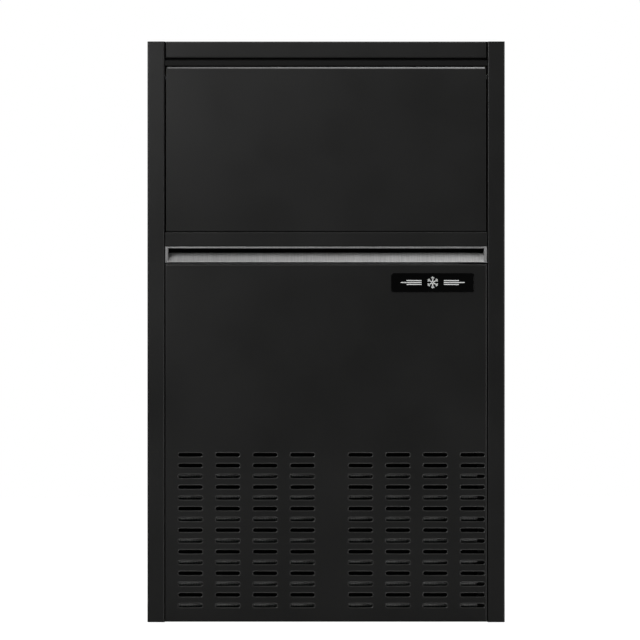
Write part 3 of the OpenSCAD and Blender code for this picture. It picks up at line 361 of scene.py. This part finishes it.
def make_finishes():
    coat = {"Coat_Weight": 0.35, "Coat_Roughness": 0.06}
    return {
        "black_steel": powder_coat(
            "black_powder_coat", (0.0056, 0.0056, 0.0053), (0.0068, 0.0068, 0.0064)
        ),
        # A lighter copy of the black coat for the bead's proud faces: painted highlight round each
        # slot
        "bead_highlight": powder_coat(
            "bead_painted_highlight", (0.016, 0.016, 0.0155), (0.024, 0.024, 0.023), (0.3, 0.38),
            (0.06, 0.06, 0.058),
        ),
        "dark_steel": powder_coat(
            "dark_sheet_coat", (0.0035, 0.0035, 0.0034), (0.0048, 0.0048, 0.0046), (0.6, 0.7),
            (0.012, 0.012, 0.012), shine=0.16,
        ),
        "tube_alloy": brushed_metal(
            "tube_alloy", (0.5, 0.5, 0.49), (0.86, 0.86, 0.85), (0.1, 1, 1), (0.45, 0.6),
            metallic=0.1,
        ),
        # Near-black, darker than any rubber: painted shade for the pull's hollow and the seams
        "deep_shade": moulded(
            "painted_deep_shade", (0.0012, 0.0012, 0.0012), (0.002, 0.002, 0.002), (0.85, 0.95),
            Specular_IOR_Level=0.05,
        ),
        "plain_steel": spangled_metal("galvanised_sheet", (0.32, 0.33, 0.34), (0.5, 0.51, 0.52)),
        "zinc": plain_metal("zinc_plate", (0.5, 0.51, 0.52), (0.66, 0.66, 0.65)),
        "pull_steel": brushed_metal(
            "satin_pull", (0.3, 0.3, 0.3), (0.48, 0.48, 0.48), ALONG_X, (0.42, 0.55)
        ),
        # A lighter, less metallic copy of the pull's steel for the ramp and nose: painted light,
        # darker to the left as painted shade
        "pull_ramp_lit": brushed_metal(
            "ramp_painted_light", (0.4, 0.4, 0.4), (0.68, 0.68, 0.675), ALONG_X, (0.5, 0.62),
            metallic=0.15, left_shaded_tone=0.6,
        ),
        # The door edge's tone falls towards the left: painted shade
        "edge_steel": brushed_metal(
            "rolled_edge", (0.24, 0.24, 0.24), (0.44, 0.44, 0.44), ALONG_X, (0.45, 0.55),
            metallic=0.3, left_shaded_tone=0.35,
        ),
        "badge": moulded(
            "badge_gloss", (0.0014, 0.0014, 0.0014), (0.002, 0.002, 0.002), (0.1, 0.18), 900,
            0.00002, Specular_IOR_Level=0.12, Coat_Weight=0.08, Coat_Roughness=0.1,
        ),
        "liner_white": moulded(
            "liner_plastic", (0.7, 0.72, 0.725), (0.78, 0.8, 0.8), (0.22, 0.36), 900, 0.00003
        ),
        "foam": foamed("rigid_foam", (0.62, 0.52, 0.3), (0.8, 0.72, 0.48)),
        "seal": moulded("gasket_rubber", (0.03, 0.031, 0.033), (0.05, 0.052, 0.055), (0.5, 0.68)),
        "dark_plastic": moulded(
            "dark_plastic", (0.018, 0.019, 0.02), (0.03, 0.032, 0.034), (0.42, 0.58)
        ),
        "grey_plastic": moulded(
            "grey_plastic", (0.22, 0.23, 0.24), (0.32, 0.33, 0.34), (0.4, 0.55)
        ),
        "smoked_window": moulded(
            "smoked_window", (0.004, 0.005, 0.006), (0.007, 0.008, 0.01), (0.04, 0.1), 600, 0.00001,
            **coat,
        ),
        "button_green": moulded(
            "green_button", (0.05, 0.28, 0.08), (0.08, 0.38, 0.12), (0.3, 0.42)
        ),
        "button_grey": moulded("grey_button", (0.48, 0.5, 0.53), (0.6, 0.62, 0.65), (0.3, 0.42)),
        "rocker_red": moulded(
            "red_rocker", (0.36, 0.02, 0.016), (0.48, 0.035, 0.028), (0.16, 0.26)
        ),
        "plated_cells": plain_metal(
            "nickel_plate", (0.6, 0.6, 0.57), (0.76, 0.76, 0.73), (0.2, 0.34)
        ),
        "copper": plain_metal(
            "copper_tube", (0.62, 0.26, 0.13), (0.86, 0.45, 0.27), (0.2, 0.38), (0.3, 0.13, 0.07)
        ),
        "white_plastic": moulded(
            "white_plastic", (0.72, 0.73, 0.72), (0.83, 0.84, 0.83), (0.3, 0.45)
        ),
        "clear_plastic": moulded(
            "curtain_plastic", (0.6, 0.74, 0.82), (0.78, 0.88, 0.94), (0.12, 0.24), 700, 0.00003,
            Alpha=0.5,
        ),
        "hose": moulded("silicone_hose", (0.5, 0.54, 0.55), (0.66, 0.7, 0.71), (0.3, 0.45)),
        "float_blue": moulded("blue_float", (0.02, 0.11, 0.34), (0.035, 0.17, 0.46), (0.4, 0.55)),
        "fins": brushed_metal(
            "fin_stock", (0.012, 0.012, 0.013), (0.03, 0.031, 0.032), (0.1, 1, 0.1), (0.4, 0.55),
            400,
        ),
        "compressor_black": moulded(
            "black_enamel", (0.006, 0.006, 0.007), (0.012, 0.012, 0.013), (0.1, 0.2), 260, 0.0002,
            **coat,
        ),
        "rubber_black": moulded(
            "black_rubber", (0.014, 0.014, 0.014), (0.03, 0.03, 0.03), (0.6, 0.8)
        ),
    }


# ---- Mesh tools ----

SMOOTH = 32
FLAT = math.radians(0.6)
SHARP = math.radians(40)
EASE_SEGMENTS = 2
DRAW_IN_DEPTH = 3 * MM
DRAW_IN_END = 4 * MM


def new_piece(name, shape, node, slot, smooth=SMOOTH, replaces=True, look=None):
    """Makes a piece that rides with the node's body, and stands for the node unless told not to."""
    mesh = bpy.data.meshes.new(name)
    mesh.from_pydata([tuple(v) for v in shape.vertices], [], shape.faces)
    return finish_piece(name, mesh, node, slot, smooth, replaces, look)


def finish_piece(name, mesh, node, slot, smooth=SMOOTH, replaces=True, look=None):
    """Tidies a mesh and makes the piece. Its finish is look's, or its slot's."""
    bm = bmesh.new()
    bm.from_mesh(mesh)
    bmesh.ops.remove_doubles(bm, verts=bm.verts, dist=WELD)
    bmesh.ops.recalc_face_normals(bm, faces=bm.faces)
    bm.to_mesh(mesh)
    bm.free()
    mesh.materials.clear()
    mesh.materials.append(FINISHES[look or slot])
    mesh.shade_smooth()
    mesh.set_sharp_from_angle(angle=math.radians(smooth))
    piece = bpy.data.objects.new(name, mesh)
    bpy.context.collection.objects.link(piece)
    flat = piece.modifiers.new("flat_faces", "WEIGHTED_NORMAL")
    flat.keep_sharp = True
    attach(piece, BODY_OF[node])
    if replaces:
        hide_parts(node)
    return piece


def refine(node, width, draw_in=0.0):
    """A copy of a CAD node with its sharp edges eased, which stands for the node.

    The corners at its front may be drawn in, which widens the seam beside them."""
    mesh = frame["nodes"][node].data.copy()
    low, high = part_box(node)
    bm = bmesh.new()
    bm.from_mesh(mesh)
    if draw_in:
        everything = [*bm.verts, *bm.edges, *bm.faces]
        cut_at = (0, low.y + DRAW_IN_END, 0)
        bmesh.ops.bisect_plane(bm, geom=everything, plane_co=cut_at, plane_no=(0, 1, 0))
        limit = high.x - draw_in
        for vertex in bm.verts:
            if vertex.co.y < low.y + DRAW_IN_DEPTH and abs(vertex.co.x) > limit:
                vertex.co.x = math.copysign(limit, vertex.co.x)
    bmesh.ops.remove_doubles(bm, verts=bm.verts, dist=2 * WELD)
    bmesh.ops.dissolve_limit(bm, angle_limit=FLAT, verts=bm.verts, edges=bm.edges)
    sharp = [e for e in bm.edges if len(e.link_faces) == 2 and e.calc_face_angle(0) > SHARP]
    bmesh.ops.bevel(
        bm, geom=sharp, offset=width, offset_type="OFFSET", segments=EASE_SEGMENTS, profile=0.5,
        affect="EDGES", clamp_overlap=True, loop_slide=True,
    )
    bmesh.ops.remove_doubles(bm, verts=bm.verts, dist=WELD)
    bm.to_mesh(mesh)
    bm.free()
    return finish_piece(node + "_shape", mesh, node, SLOT_OF[node])


class Shape:
    """Vertices and faces that are collected before one mesh is made of them."""

    def __init__(self):
        self.vertices, self.faces = [], []

    def loop(self, points):
        first = len(self.vertices)
        self.vertices.extend(points)
        return list(range(first, first + len(points)))

    def bridge(self, a, b):
        for i in range(len(a)):
            j = (i + 1) % len(a)
            self.faces.append((a[i], a[j], b[j], b[i]))

    def skin(self, loops):
        """Joins each loop of points to the next."""
        made = [self.loop(points) for points in loops]
        for a, b in zip(made, made[1:]):
            self.bridge(a, b)
        return made

    def fill(self, outline):
        """Fills the flat region inside a loop that is already there."""
        flat = [[Vector(self.vertices[i]) for i in outline]]
        self.faces.extend(tuple(outline[k] for k in tri) for tri in tessellate_polygon(flat))

    def solid(self, loops):
        """Joins the loops and fills the first and the last."""
        made = self.skin(loops)
        self.fill(made[0])
        self.fill(made[-1])

    def lathe(self, profile, centre, axis, steps):
        """Turns a profile of (radius, distance) about X or Y, closed at both ends."""
        loops = []
        for radius, along in profile:
            ring = []
            for k in range(steps):
                a = 2 * math.pi * k / steps
                p = {
                    "x": (along, radius * math.cos(a), radius * math.sin(a)),
                    "y": (radius * math.sin(a), along, radius * math.cos(a)),
                }[axis]
                ring.append(tuple(c + q for c, q in zip(centre, p)))
            loops.append(ring)
        made = self.skin(loops)
        self.faces.append(tuple(reversed(made[0])))
        self.faces.append(tuple(made[-1]))


def drawn_along_x(section, start, end, steps):
    """The loops of a (y, z) section that runs from one X to another."""
    places = [start + (end - start) * k / steps for k in range(steps + 1)]
    return [[(x, y, z) for y, z in section] for x in places]


def drawn_along_z(outline, heights):
    """The loops of an (x, y) outline at each height."""
    return [[(x, y, z) for x, y in outline] for z in heights]


def obround(centre, length, height, grow, y, steps):
    """A rounded slot along X at one depth, grown by a distance on every side."""
    radius = height / 2 + grow
    reach = (length - height) / 2
    points = []
    for side, start in ((1, -90), (-1, 90)):
        for k in range(steps):
            a = math.radians(start + 180 * k / (steps - 1))
            x = centre[0] + side * reach + radius * math.cos(a)
            points.append((x, y, centre[1] + radius * math.sin(a)))
    return points


def rectangle(low, high, inset, y, radius=0.0, steps=4):
    """A rectangle in X and Z at one depth, inset on every side, with round corners if asked."""
    x0, z0, x1, z1 = low[0] + inset, low[1] + inset, high[0] - inset, high[1] - inset
    if radius <= 0:
        return [(x0, y, z0), (x1, y, z0), (x1, y, z1), (x0, y, z1)]
    corners = [
        (x1 - radius, z0 + radius, -90), (x1 - radius, z1 - radius, 0),
        (x0 + radius, z1 - radius, 90), (x0 + radius, z0 + radius, 180),
    ]
    points = []
    for cx, cz, start in corners:
        for k in range(steps + 1):
            a = math.radians(start + 90 * k / steps)
            points.append((cx + radius * math.cos(a), y, cz + radius * math.sin(a)))
    return points


def quarter(radius, steps):
    """(inset, depth) along a quarter round, from the flat face to the side."""
    turns = [math.pi / 2 * k / steps for k in range(steps + 1)]
    return [(radius * (1 - math.sin(a)), radius * (1 - math.cos(a))) for a in turns]


def rounded_outline(points, steps=4):
    """A closed outline of (a, b, radius) corners, with each corner turned into an arc."""
    made = []
    count, slight = len(points), 0.02
    for i in range(count):
        before, here, after = (Vector(points[(i + k) % count][:2]) for k in (-1, 0, 1))
        radius = points[i][2]
        u, v = (before - here).normalized(), (after - here).normalized()
        half = math.acos(max(-1, min(1, u.dot(v)))) / 2
        if radius <= 0 or half < slight or half > math.pi / 2 - slight:
            made.append(tuple(here))
            continue
        reach = radius / math.tan(half)
        centre = here + (u + v).normalized() * (radius / math.sin(half))
        start, end = here + u * reach - centre, here + v * reach - centre
        turn = start.angle_signed(end)
        for k in range(steps + 1):
            a = -turn * k / steps
            made.append((
                centre.x + start.x * math.cos(a) - start.y * math.sin(a),
                centre.y + start.x * math.sin(a) + start.y * math.cos(a),
            ))
    return made


# ---- Louvred lower panel ----

LOUVRE_ROWS = 15
LOUVRE_PITCH = (46.8 * MM, 13.5 * MM)
LOUVRE_STARTS = (-170 * MM, 43.2 * MM)
LOUVRE_TOP = 209.7 * MM
LOUVRE_GROUP = 4
SLOT = (30 * MM, 4.2 * MM)
SHEET = 1.0 * MM
PANEL_RETURN = 10 * MM
BEND = 2 * MM
BEAD = [
    (grow * MM, depth * MM)
    for grow, depth in ((1.35, 0), (1.1, -0.3), (0.8, -0.45), (0.45, -0.3), (0.15, 0.1), (0, 0.7))
]
RIM = BEAD[0][0]
BEAD_HIGHLIGHT_FROM = 0.05 * MM
CELL_MARGIN = (0.03 * MM, 1.5 * MM)
LIP = 2.6 * MM
LIP_WALL = 0.8 * MM
CAP_STEPS = 7
LOUVRE_X = [start + i * LOUVRE_PITCH[0] for start in LOUVRE_STARTS for i in range(LOUVRE_GROUP)]
LOUVRE_Z = [LOUVRE_TOP - j * LOUVRE_PITCH[1] for j in reversed(range(LOUVRE_ROWS))]


def slotted_face(shape, xs, zs, y, grow):
    """A flat face of grid cells, where each louvre's cell is cut out round its slot."""
    for i, (x0, x1) in enumerate(zip(xs, xs[1:])):
        for j, (z0, z1) in enumerate(zip(zs, zs[1:])):
            corners = shape.loop([(x0, y, z0), (x1, y, z0), (x1, y, z1), (x0, y, z1)])
            if i % 2 == 0 or j % 2 == 0:
                shape.faces.append(tuple(corners))
                continue
            ring = shape.loop(obround(((x0 + x1) / 2, (z0 + z1) / 2), *SLOT, grow, y, CAP_STEPS))
            right, left = ring[:CAP_STEPS], ring[CAP_STEPS:]
            middle = CAP_STEPS // 2
            for cap, (start, end) in ((right, (1, 2)), (left, (3, 0))):
                for k in range(CAP_STEPS - 1):
                    corner = corners[start if k < middle else end]
                    shape.faces.append((corner, cap[k + 1], cap[k]))
                shape.faces.append((corners[start], corners[end], cap[middle]))
            shape.faces.append((corners[0], corners[1], right[0], left[-1]))
            shape.faces.append((corners[2], corners[3], left[0], right[-1]))


def make_lower_panel():
    """A folded tray whose slots have a pressed bead round them and a short lip behind. The bead's
    proud faces take a lighter coat, as painted highlight.
    """
    node = "lower_front_panel"
    low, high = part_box(node)
    front = low.y
    half = [size / 2 + RIM + margin for size, margin in zip(SLOT, CELL_MARGIN)]
    inner_x = [x + side * half[0] for x in LOUVRE_X for side in (-1, 1)]
    inner_z = [z + side * half[1] for z in LOUVRE_Z for side in (-1, 1)]
    xs = [low.x + BEND, *inner_x, high.x - BEND]
    zs = [low.z + BEND, *inner_z, high.z - BEND]

    def border(inset, y):
        x0, z0, x1, z1 = low.x + inset, low.z + inset, high.x - inset, high.z - inset
        return (
            [(x, y, z0) for x in (x0, *inner_x, x1)]
            + [(x1, y, z) for z in (*inner_z, z1)]
            + [(x, y, z1) for x in (*reversed(inner_x), x0)]
            + [(x0, y, z) for z in reversed(inner_z)]
        )

    shape = Shape()
    shape.skin([
        *(border(inset, front + depth) for inset, depth in quarter(BEND, 5)),
        border(0, front + PANEL_RETURN),
        border(SHEET, front + PANEL_RETURN),
        border(SHEET, front + BEND),
        border(BEND, front + SHEET),
    ])
    for x in LOUVRE_X:
        for z in LOUVRE_Z:
            rings = [obround((x, z), *SLOT, grow, front + depth, CAP_STEPS) for grow, depth in BEAD]
            rings.append(obround((x, z), *SLOT, 0, front + LIP, CAP_STEPS))
            rings.append(obround((x, z), *SLOT, LIP_WALL, front + LIP, CAP_STEPS))
            rings.append(obround((x, z), *SLOT, RIM, front + SHEET, CAP_STEPS))
            shape.skin(rings)
    slotted_face(shape, xs, zs, front, RIM)
    slotted_face(shape, xs, zs, front + SHEET, RIM)
    panel = new_piece("louvred_panel", shape, node, "black_steel", smooth=28)
    # The bead's proud faces get the lighter coat: painted highlight round each slot
    panel.data.materials.append(FINISHES["bead_highlight"])
    for face in panel.data.polygons:
        if face.center.y < front - BEAD_HIGHLIGHT_FROM:
            face.material_index = 1


# ---- Condenser behind it: fins on tubes ----

FIN_PITCH = 2.0 * MM
FIN_T = 0.22 * MM
FIN_FOLD = 2.4 * MM
FIN_INSET = 0.4 * MM
FIN_WAVE = 0.25 * MM
FIN_WAVE_STEP = 1.7
TUBE_R = 4.0 * MM
TUBE_ROWS = 7
TUBE_LOW = 22.2 * MM
TUBE_PITCH = 27.2 * MM
TUBE_DEPTHS = (4.3 * MM, 24 * MM)
TUBE_SIDES = 20


def make_condenser():
    node = "condenser_core"
    low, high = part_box(node)
    shape = Shape()
    mid_y = (low.y + high.y) / 2
    count = int((high.x - low.x - FIN_FOLD - FIN_T) / FIN_PITCH)
    for k in range(count):
        x = low.x + (k + 0.5) * FIN_PITCH
        edge = low.y + FIN_INSET + FIN_WAVE * math.sin(k * FIN_WAVE_STEP)
        middle, t = x + FIN_FOLD, FIN_T / 2
        outline = [
            (x - t, edge), (x + t, edge), (middle + t, mid_y),
            (x + t, high.y), (x - t, high.y), (middle - t, mid_y),
        ]
        rings = shape.skin(drawn_along_z(outline, (low.z, high.z)))
        for ring in rings:
            shape.faces.append((ring[0], ring[1], ring[2], ring[5]))
            shape.faces.append((ring[5], ring[2], ring[3], ring[4]))
    new_piece("condenser_fins", shape, node, "fins", smooth=20)
    tubes = Shape()
    for row in range(TUBE_ROWS):
        for depth in TUBE_DEPTHS:
            centre = (0, low.y + depth, TUBE_LOW + row * TUBE_PITCH)
            tubes.lathe([(TUBE_R, low.x), (TUBE_R, high.x)], centre, "x", TUBE_SIDES)
    new_piece("condenser_tubes", tubes, node, "fins", smooth=40, replaces=False, look="tube_alloy")


def make_air_baffles():
    """A folded strip on each side, which shuts the gap between the condenser and the cabinet."""
    node = "condenser_plates"
    low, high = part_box(node)
    panel_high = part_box("lower_front_panel")[1]
    overlap, clear, thick, turn = 1.2 * MM, 0.2 * MM, 0.8 * MM, 7 * MM
    foot, rise = 14 * MM, 4 * MM
    front = low.y - 1.6 * MM
    shape = Shape()
    for side in (-1, 1):
        inner, outer = side * (high.x - overlap), side * (panel_high.x - SHEET - clear)
        outline = [
            (inner, front), (outer, front), (outer, front + turn),
            (outer - side * thick, front + turn), (outer - side * thick, front + thick),
            (inner, front + thick),
        ]
        shape.solid(drawn_along_z(outline, (low.z + foot, high.z + rise)))
    new_piece("air_baffles", shape, node, "rubber_black", replaces=False)


# ---- Bright pull channel of the door ----

def make_pull():
    """The channel, with a rolled nose and soft inner corners. Its ramp and nose take a lighter copy
    of the steel as painted light, and a near-black strip in its hollow stands for painted shade.
    """
    node = "door_pull"
    low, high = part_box(node)
    web, under = 1.2 * MM, 1.4 * MM
    ramp_tilt, nose_tilt = 0.4, -0.1
    nose, back = low.y, high.y - web
    bottom, top = low.z, high.z
    rim_top = bottom + 20.5 * MM
    rim_low = rim_top - 2.5 * MM
    hollow_front = nose + 4.6 * MM
    ramp_low, ramp_high = bottom + 1.7 * MM, rim_top - 6.5 * MM
    # Each corner's Y, Z and radius
    outline = rounded_outline([
        (nose, bottom, 0.75 * MM),
        (back + web, ramp_high - under, 2.5 * MM),
        (back + web, top, 1.5 * MM),
        (hollow_front - web, top, 1.0 * MM),
        (hollow_front - web, rim_top, 0.3 * MM),
        (nose, rim_top, 1.0 * MM),
        (nose, rim_low, 1.0 * MM),
        (hollow_front, rim_low, 0.3 * MM),
        (hollow_front, top - web, 0.8 * MM),
        (back, top - web, 2.0 * MM),
        (back, ramp_high, 3.0 * MM),
        (nose, ramp_low, 0.75 * MM),
    ], steps=5)
    shape = Shape()
    shape.solid(drawn_along_x(outline, low.x, high.x, 40))
    channel = new_piece("pull_channel", shape, node, "pull_steel", smooth=30)
    channel.data.materials.append(FINISHES["pull_ramp_lit"])
    # The ramp and the nose's front get the lighter copy: painted light
    for face in channel.data.polygons:
        on_ramp = face.normal.z > ramp_tilt and face.center.z < ramp_high + MM
        on_nose = face.normal.y < nose_tilt and face.center.z < ramp_low + MM
        face.material_index = 1 if on_ramp or on_nose else 0
    # A thin strip on the hollow's back wall, coloured near-black as painted shade in the hollow
    shade_lining = Shape()
    front, ease = back - 2 * MM, 0.2 * MM
    a, b = (low.x, ramp_high - web), (high.x, top - 3 * MM)
    shade_lining.solid([
        rectangle(a, b, inset, y) for inset, y in ((ease, front), (0, front + ease), (0, back))
    ])
    new_piece("pull_shade_lining", shade_lining, node, "rubber_black", replaces=False, look="deep_shade")


def make_door_edge():
    """The bright rolled edge along the top of the door's face."""
    node = "door_front_panel"
    low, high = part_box(node)
    radius, proud, sunk, inset = 1.1 * MM, 0.5 * MM, 0.1 * MM, 1.6 * MM
    centre_z = high.z - radius - sunk
    arc = [math.pi * k / 8 for k in range(9)]
    section = [(low.y - proud * math.sin(a), centre_z + radius * math.cos(a)) for a in arc]
    section += [(low.y + sunk, centre_z - radius), (low.y + sunk, centre_z + radius)]
    shape = Shape()
    shape.solid(drawn_along_x(section, low.x + inset, high.x - inset, 24))
    # Its finish darkens towards the left: painted shade
    new_piece("door_edge", shape, node, "pull_steel", smooth=40, replaces=False, look="edge_steel")


# ---- Badge: a gloss plate with a plain snowflake between two sets of bars ----

def make_badge():
    node = "badge_plate"
    low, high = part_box(node)
    a, b = (low.x, low.z), (high.x, high.z)
    proud, ease, corner, steps = 0.12 * MM, 0.5 * MM, 3 * MM, 6
    face = low.y + proud
    shape = Shape()
    loops = [
        rectangle(a, b, inset, face + depth, corner, steps) for inset, depth in quarter(ease, 4)
    ]
    shape.solid([*loops, rectangle(a, b, 0, high.y, corner, steps)])
    new_piece("badge", shape, node, "badge", smooth=30)
    make_emblem(Vector(((low.x + high.x) / 2, 0, (low.z + high.z) / 2)), low.y, face, node)


def make_emblem(centre, near, far, node):
    mark = Shape()

    def bar(start, end, width):
        start, end = Vector(start), Vector(end)
        along = (end - start).normalized()
        side = Vector((-along.y, along.x)) * width / 2
        corners = [start + side, start - side, end - side, end + side]
        front, back = (
            [(centre.x + c.x, y, centre.z + c.y) for c in corners] for y in (near, far + 0.02 * MM)
        )
        a, b = mark.skin([front, back])
        mark.faces.append(tuple(a))
        mark.faces.append(tuple(reversed(b)))

    def towards(degrees):
        return Vector((math.cos(math.radians(degrees)), math.sin(math.radians(degrees))))

    arm, fork, hub, twig = 7.2 * MM, 0.62, 0.6, 2.6
    for k in range(6):
        angle = 30 + 60 * k
        way = towards(angle)
        bar(way * hub * MM, way * arm, 1.3 * MM)
        for turn in (-45, 45):
            bar(way * fork * arm, way * fork * arm + towards(angle + turn) * twig * MM, 1.0 * MM)
    inner, outer, taper = 14 * MM, 40 * MM, 3
    for side in (-1, 1):
        for level in (-2.4 * MM, 0, 2.4 * MM):
            bar((side * inner, level), (side * (outer - abs(level) * taper), level), 1.2 * MM)
    new_piece("badge_emblem", mark, node, "white_plastic", replaces=False)


# ---- Door gasket: a soft hollow section round the mouth ----

def make_gasket():
    node = "door_gasket"
    low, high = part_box(node)
    a, b = (low.x, low.z), (high.x, high.z)
    width, depth = 10.5 * MM, high.y - low.y
    corner, corner_drop, steps = 12, 8, 6
    section = [
        (0.2, 0.0), (0.1, 0.25), (0.0, 0.5), (0.08, 0.8), (0.25, 0.97), (0.5, 1.0), (0.75, 0.97),
        (0.92, 0.8), (1.0, 0.5), (0.9, 0.25), (0.8, 0.0), (0.55, 0.12), (0.45, 0.12),
    ]
    shape = Shape()
    made = shape.skin([
        rectangle(a, b, u * width, low.y + v * depth, corner * MM - u * corner_drop * MM, steps)
        for u, v in section
    ])
    shape.bridge(made[-1], made[0])
    new_piece("gasket_seal", shape, node, "seal", smooth=50)


# ---- Fan ----

FAN_X, FAN_Z = -85 * MM, 110 * MM
FAN_REACH = 79 * MM
FAN_HUB = 20 * MM
FAN_BORE = 3.05 * MM
FAN_BLADES = 5


def make_fan():
    """A hub turned about Y, with blades that are twisted, cambered and thin at their edges."""
    node = "fan_blade"
    low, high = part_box(node)
    centre = Vector((FAN_X, (low.y + high.y) / 2, FAN_Z))
    thick, half, camber, tuck = 1.8 * MM, 11 * MM, 2.4 * MM, 1 * MM
    root, taper, sweep, rounding, washout, thinnest = 0.62, 0.12, 0.22, 0.08, 0.35, 0.15
    hub_profile = [
        (FAN_BORE, -12 * MM), (17 * MM, -12 * MM), (19.4 * MM, -11 * MM), (FAN_HUB, -9 * MM),
        (FAN_HUB, 11 * MM), (19 * MM, 12 * MM), (FAN_BORE, 12 * MM),
    ]
    shape = Shape()
    shape.lathe(hub_profile, centre, "y", 60)
    radial, chord = 9, 12
    for k in range(FAN_BLADES):
        start = 2 * math.pi * k / FAN_BLADES
        sides = []
        for face in (-1, 1):
            grid = []
            for i in range(radial + 1):
                v = i / radial
                radius = FAN_HUB - tuck + (FAN_REACH - FAN_HUB) * v
                spread = root - taper * v
                for j in range(chord + 1):
                    u = 2 * j / chord - 1
                    angle = start + sweep * v * v + u * spread * (1 - rounding * v * v)
                    edge = max(thinnest, 1 - abs(u) ** 6)
                    twist = u * half * (1 - washout * v)
                    y = centre.y + twist + camber * (1 - u * u) + face * thick / 2 * edge
                    x, z = centre.x + radius * math.sin(angle), centre.z + radius * math.cos(angle)
                    grid.append((x, y, z))
            sides.append(shape.loop(grid))
        row = chord + 1
        for side in sides:
            for i in range(radial):
                for j in range(chord):
                    p = i * row + j
                    shape.faces.append((side[p], side[p + 1], side[p + row + 1], side[p + row]))
        rim = (
            list(range(row)) + [i * row + chord for i in range(1, radial + 1)]
            + [radial * row + j for j in range(chord - 1, -1, -1)]
            + [i * row for i in range(radial - 1, 0, -1)]
        )
        shape.bridge([sides[0][i] for i in rim], [sides[1][i] for i in rim])
    new_piece("fan_blades", shape, node, "dark_plastic", smooth=40)


# ---- Seams beside the top cover's front ----

SEAM_DRAW_IN = 1.5 * MM


def make_seam_strips():
    """A strip in the seam on each side of the top cover's front, coloured near-black as painted
    shade in the seam.
    """
    node = "top_cover"
    low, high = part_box(node)
    tuck, drop = 0.4 * MM, 0.3 * MM
    y0, y1 = low.y + 0.7 * MM, low.y + 2.4 * MM
    shape = Shape()
    for side in (-1, 1):
        x0, x1 = side * (high.x - SEAM_DRAW_IN - tuck), side * high.x
        outline = [(x0, y0 + drop), ((x0 + x1) / 2, y0), (x1, y0 + drop), (x1, y1), (x0, y1)]
        shape.solid(drawn_along_z(outline, (low.z, high.z - drop)))
    new_piece("seam_shade_strips", shape, node, "rubber_black", replaces=False, look="deep_shade")


# ---- Everything else keeps its CAD shape, with eased edges where they show ----

# How wide each node's edges are eased, in millimetres
EASED = {
    "left_side_panel": 0.35, "right_side_panel": 0.35, "top_cover": 0.35, "back_panel": 0.25,
    "door_front_panel": 0.3, "door_lower_rail": 0.3, "pull_end_caps": 0.35, "door_liner": 0.6,
    "bin_liner": 1.2, "water_trough": 1.0, "control_fascia": 0.6, "evaporator_frame": 0.8,
    "ice_chute": 0.8, "control_box": 0.5, "fan_bracket": 0.5, "base_pan": 0.5, "header_rail": 0.3,
    "front_mid_rail": 0.3, "bin_deck": 0.3, "condenser_plates": 0.3, "fan_shroud": 0.4,
    "rocker_housing": 0.3, "power_rocker": 0.5, "cord_gland": 0.4, "drain_outlet": 0.5,
    "water_inlet_valve": 0.6, "water_pump": 1.0, "fan_motor": 1.0, "float": 1.2,
    "start_button": 0.4, "clean_button": 0.4, "light_button": 0.4, "leg_sockets": 0.5,
    "panel_screws": 0.4, "distribution_tube": 0.4, "water_curtain": 0.5,
}

make_camera()
make_world()
make_floor()
for light in LIGHTS:
    area_light(*light)
bpy.context.scene.view_settings.view_transform = "Standard"

FINISHES = make_finishes()
SLOT_OF = {s["node"]: s["material_slot"] for s in frame["record"]["subparts"]}
for node, thing in frame["nodes"].items():
    for slot in thing.material_slots:
        slot.material = FINISHES[SLOT_OF[node]]

make_lower_panel()
make_condenser()
make_air_baffles()
make_pull()
make_door_edge()
make_badge()
make_gasket()
make_fan()
for node, width in EASED.items():
    refine(node, width * MM, draw_in=SEAM_DRAW_IN if node == "top_cover" else 0)
make_seam_strips()

# The foam shows only at the open door's edges, where it has a dark skin
frame["nodes"]["door_foam"].material_slots[0].material = FINISHES["seal"]
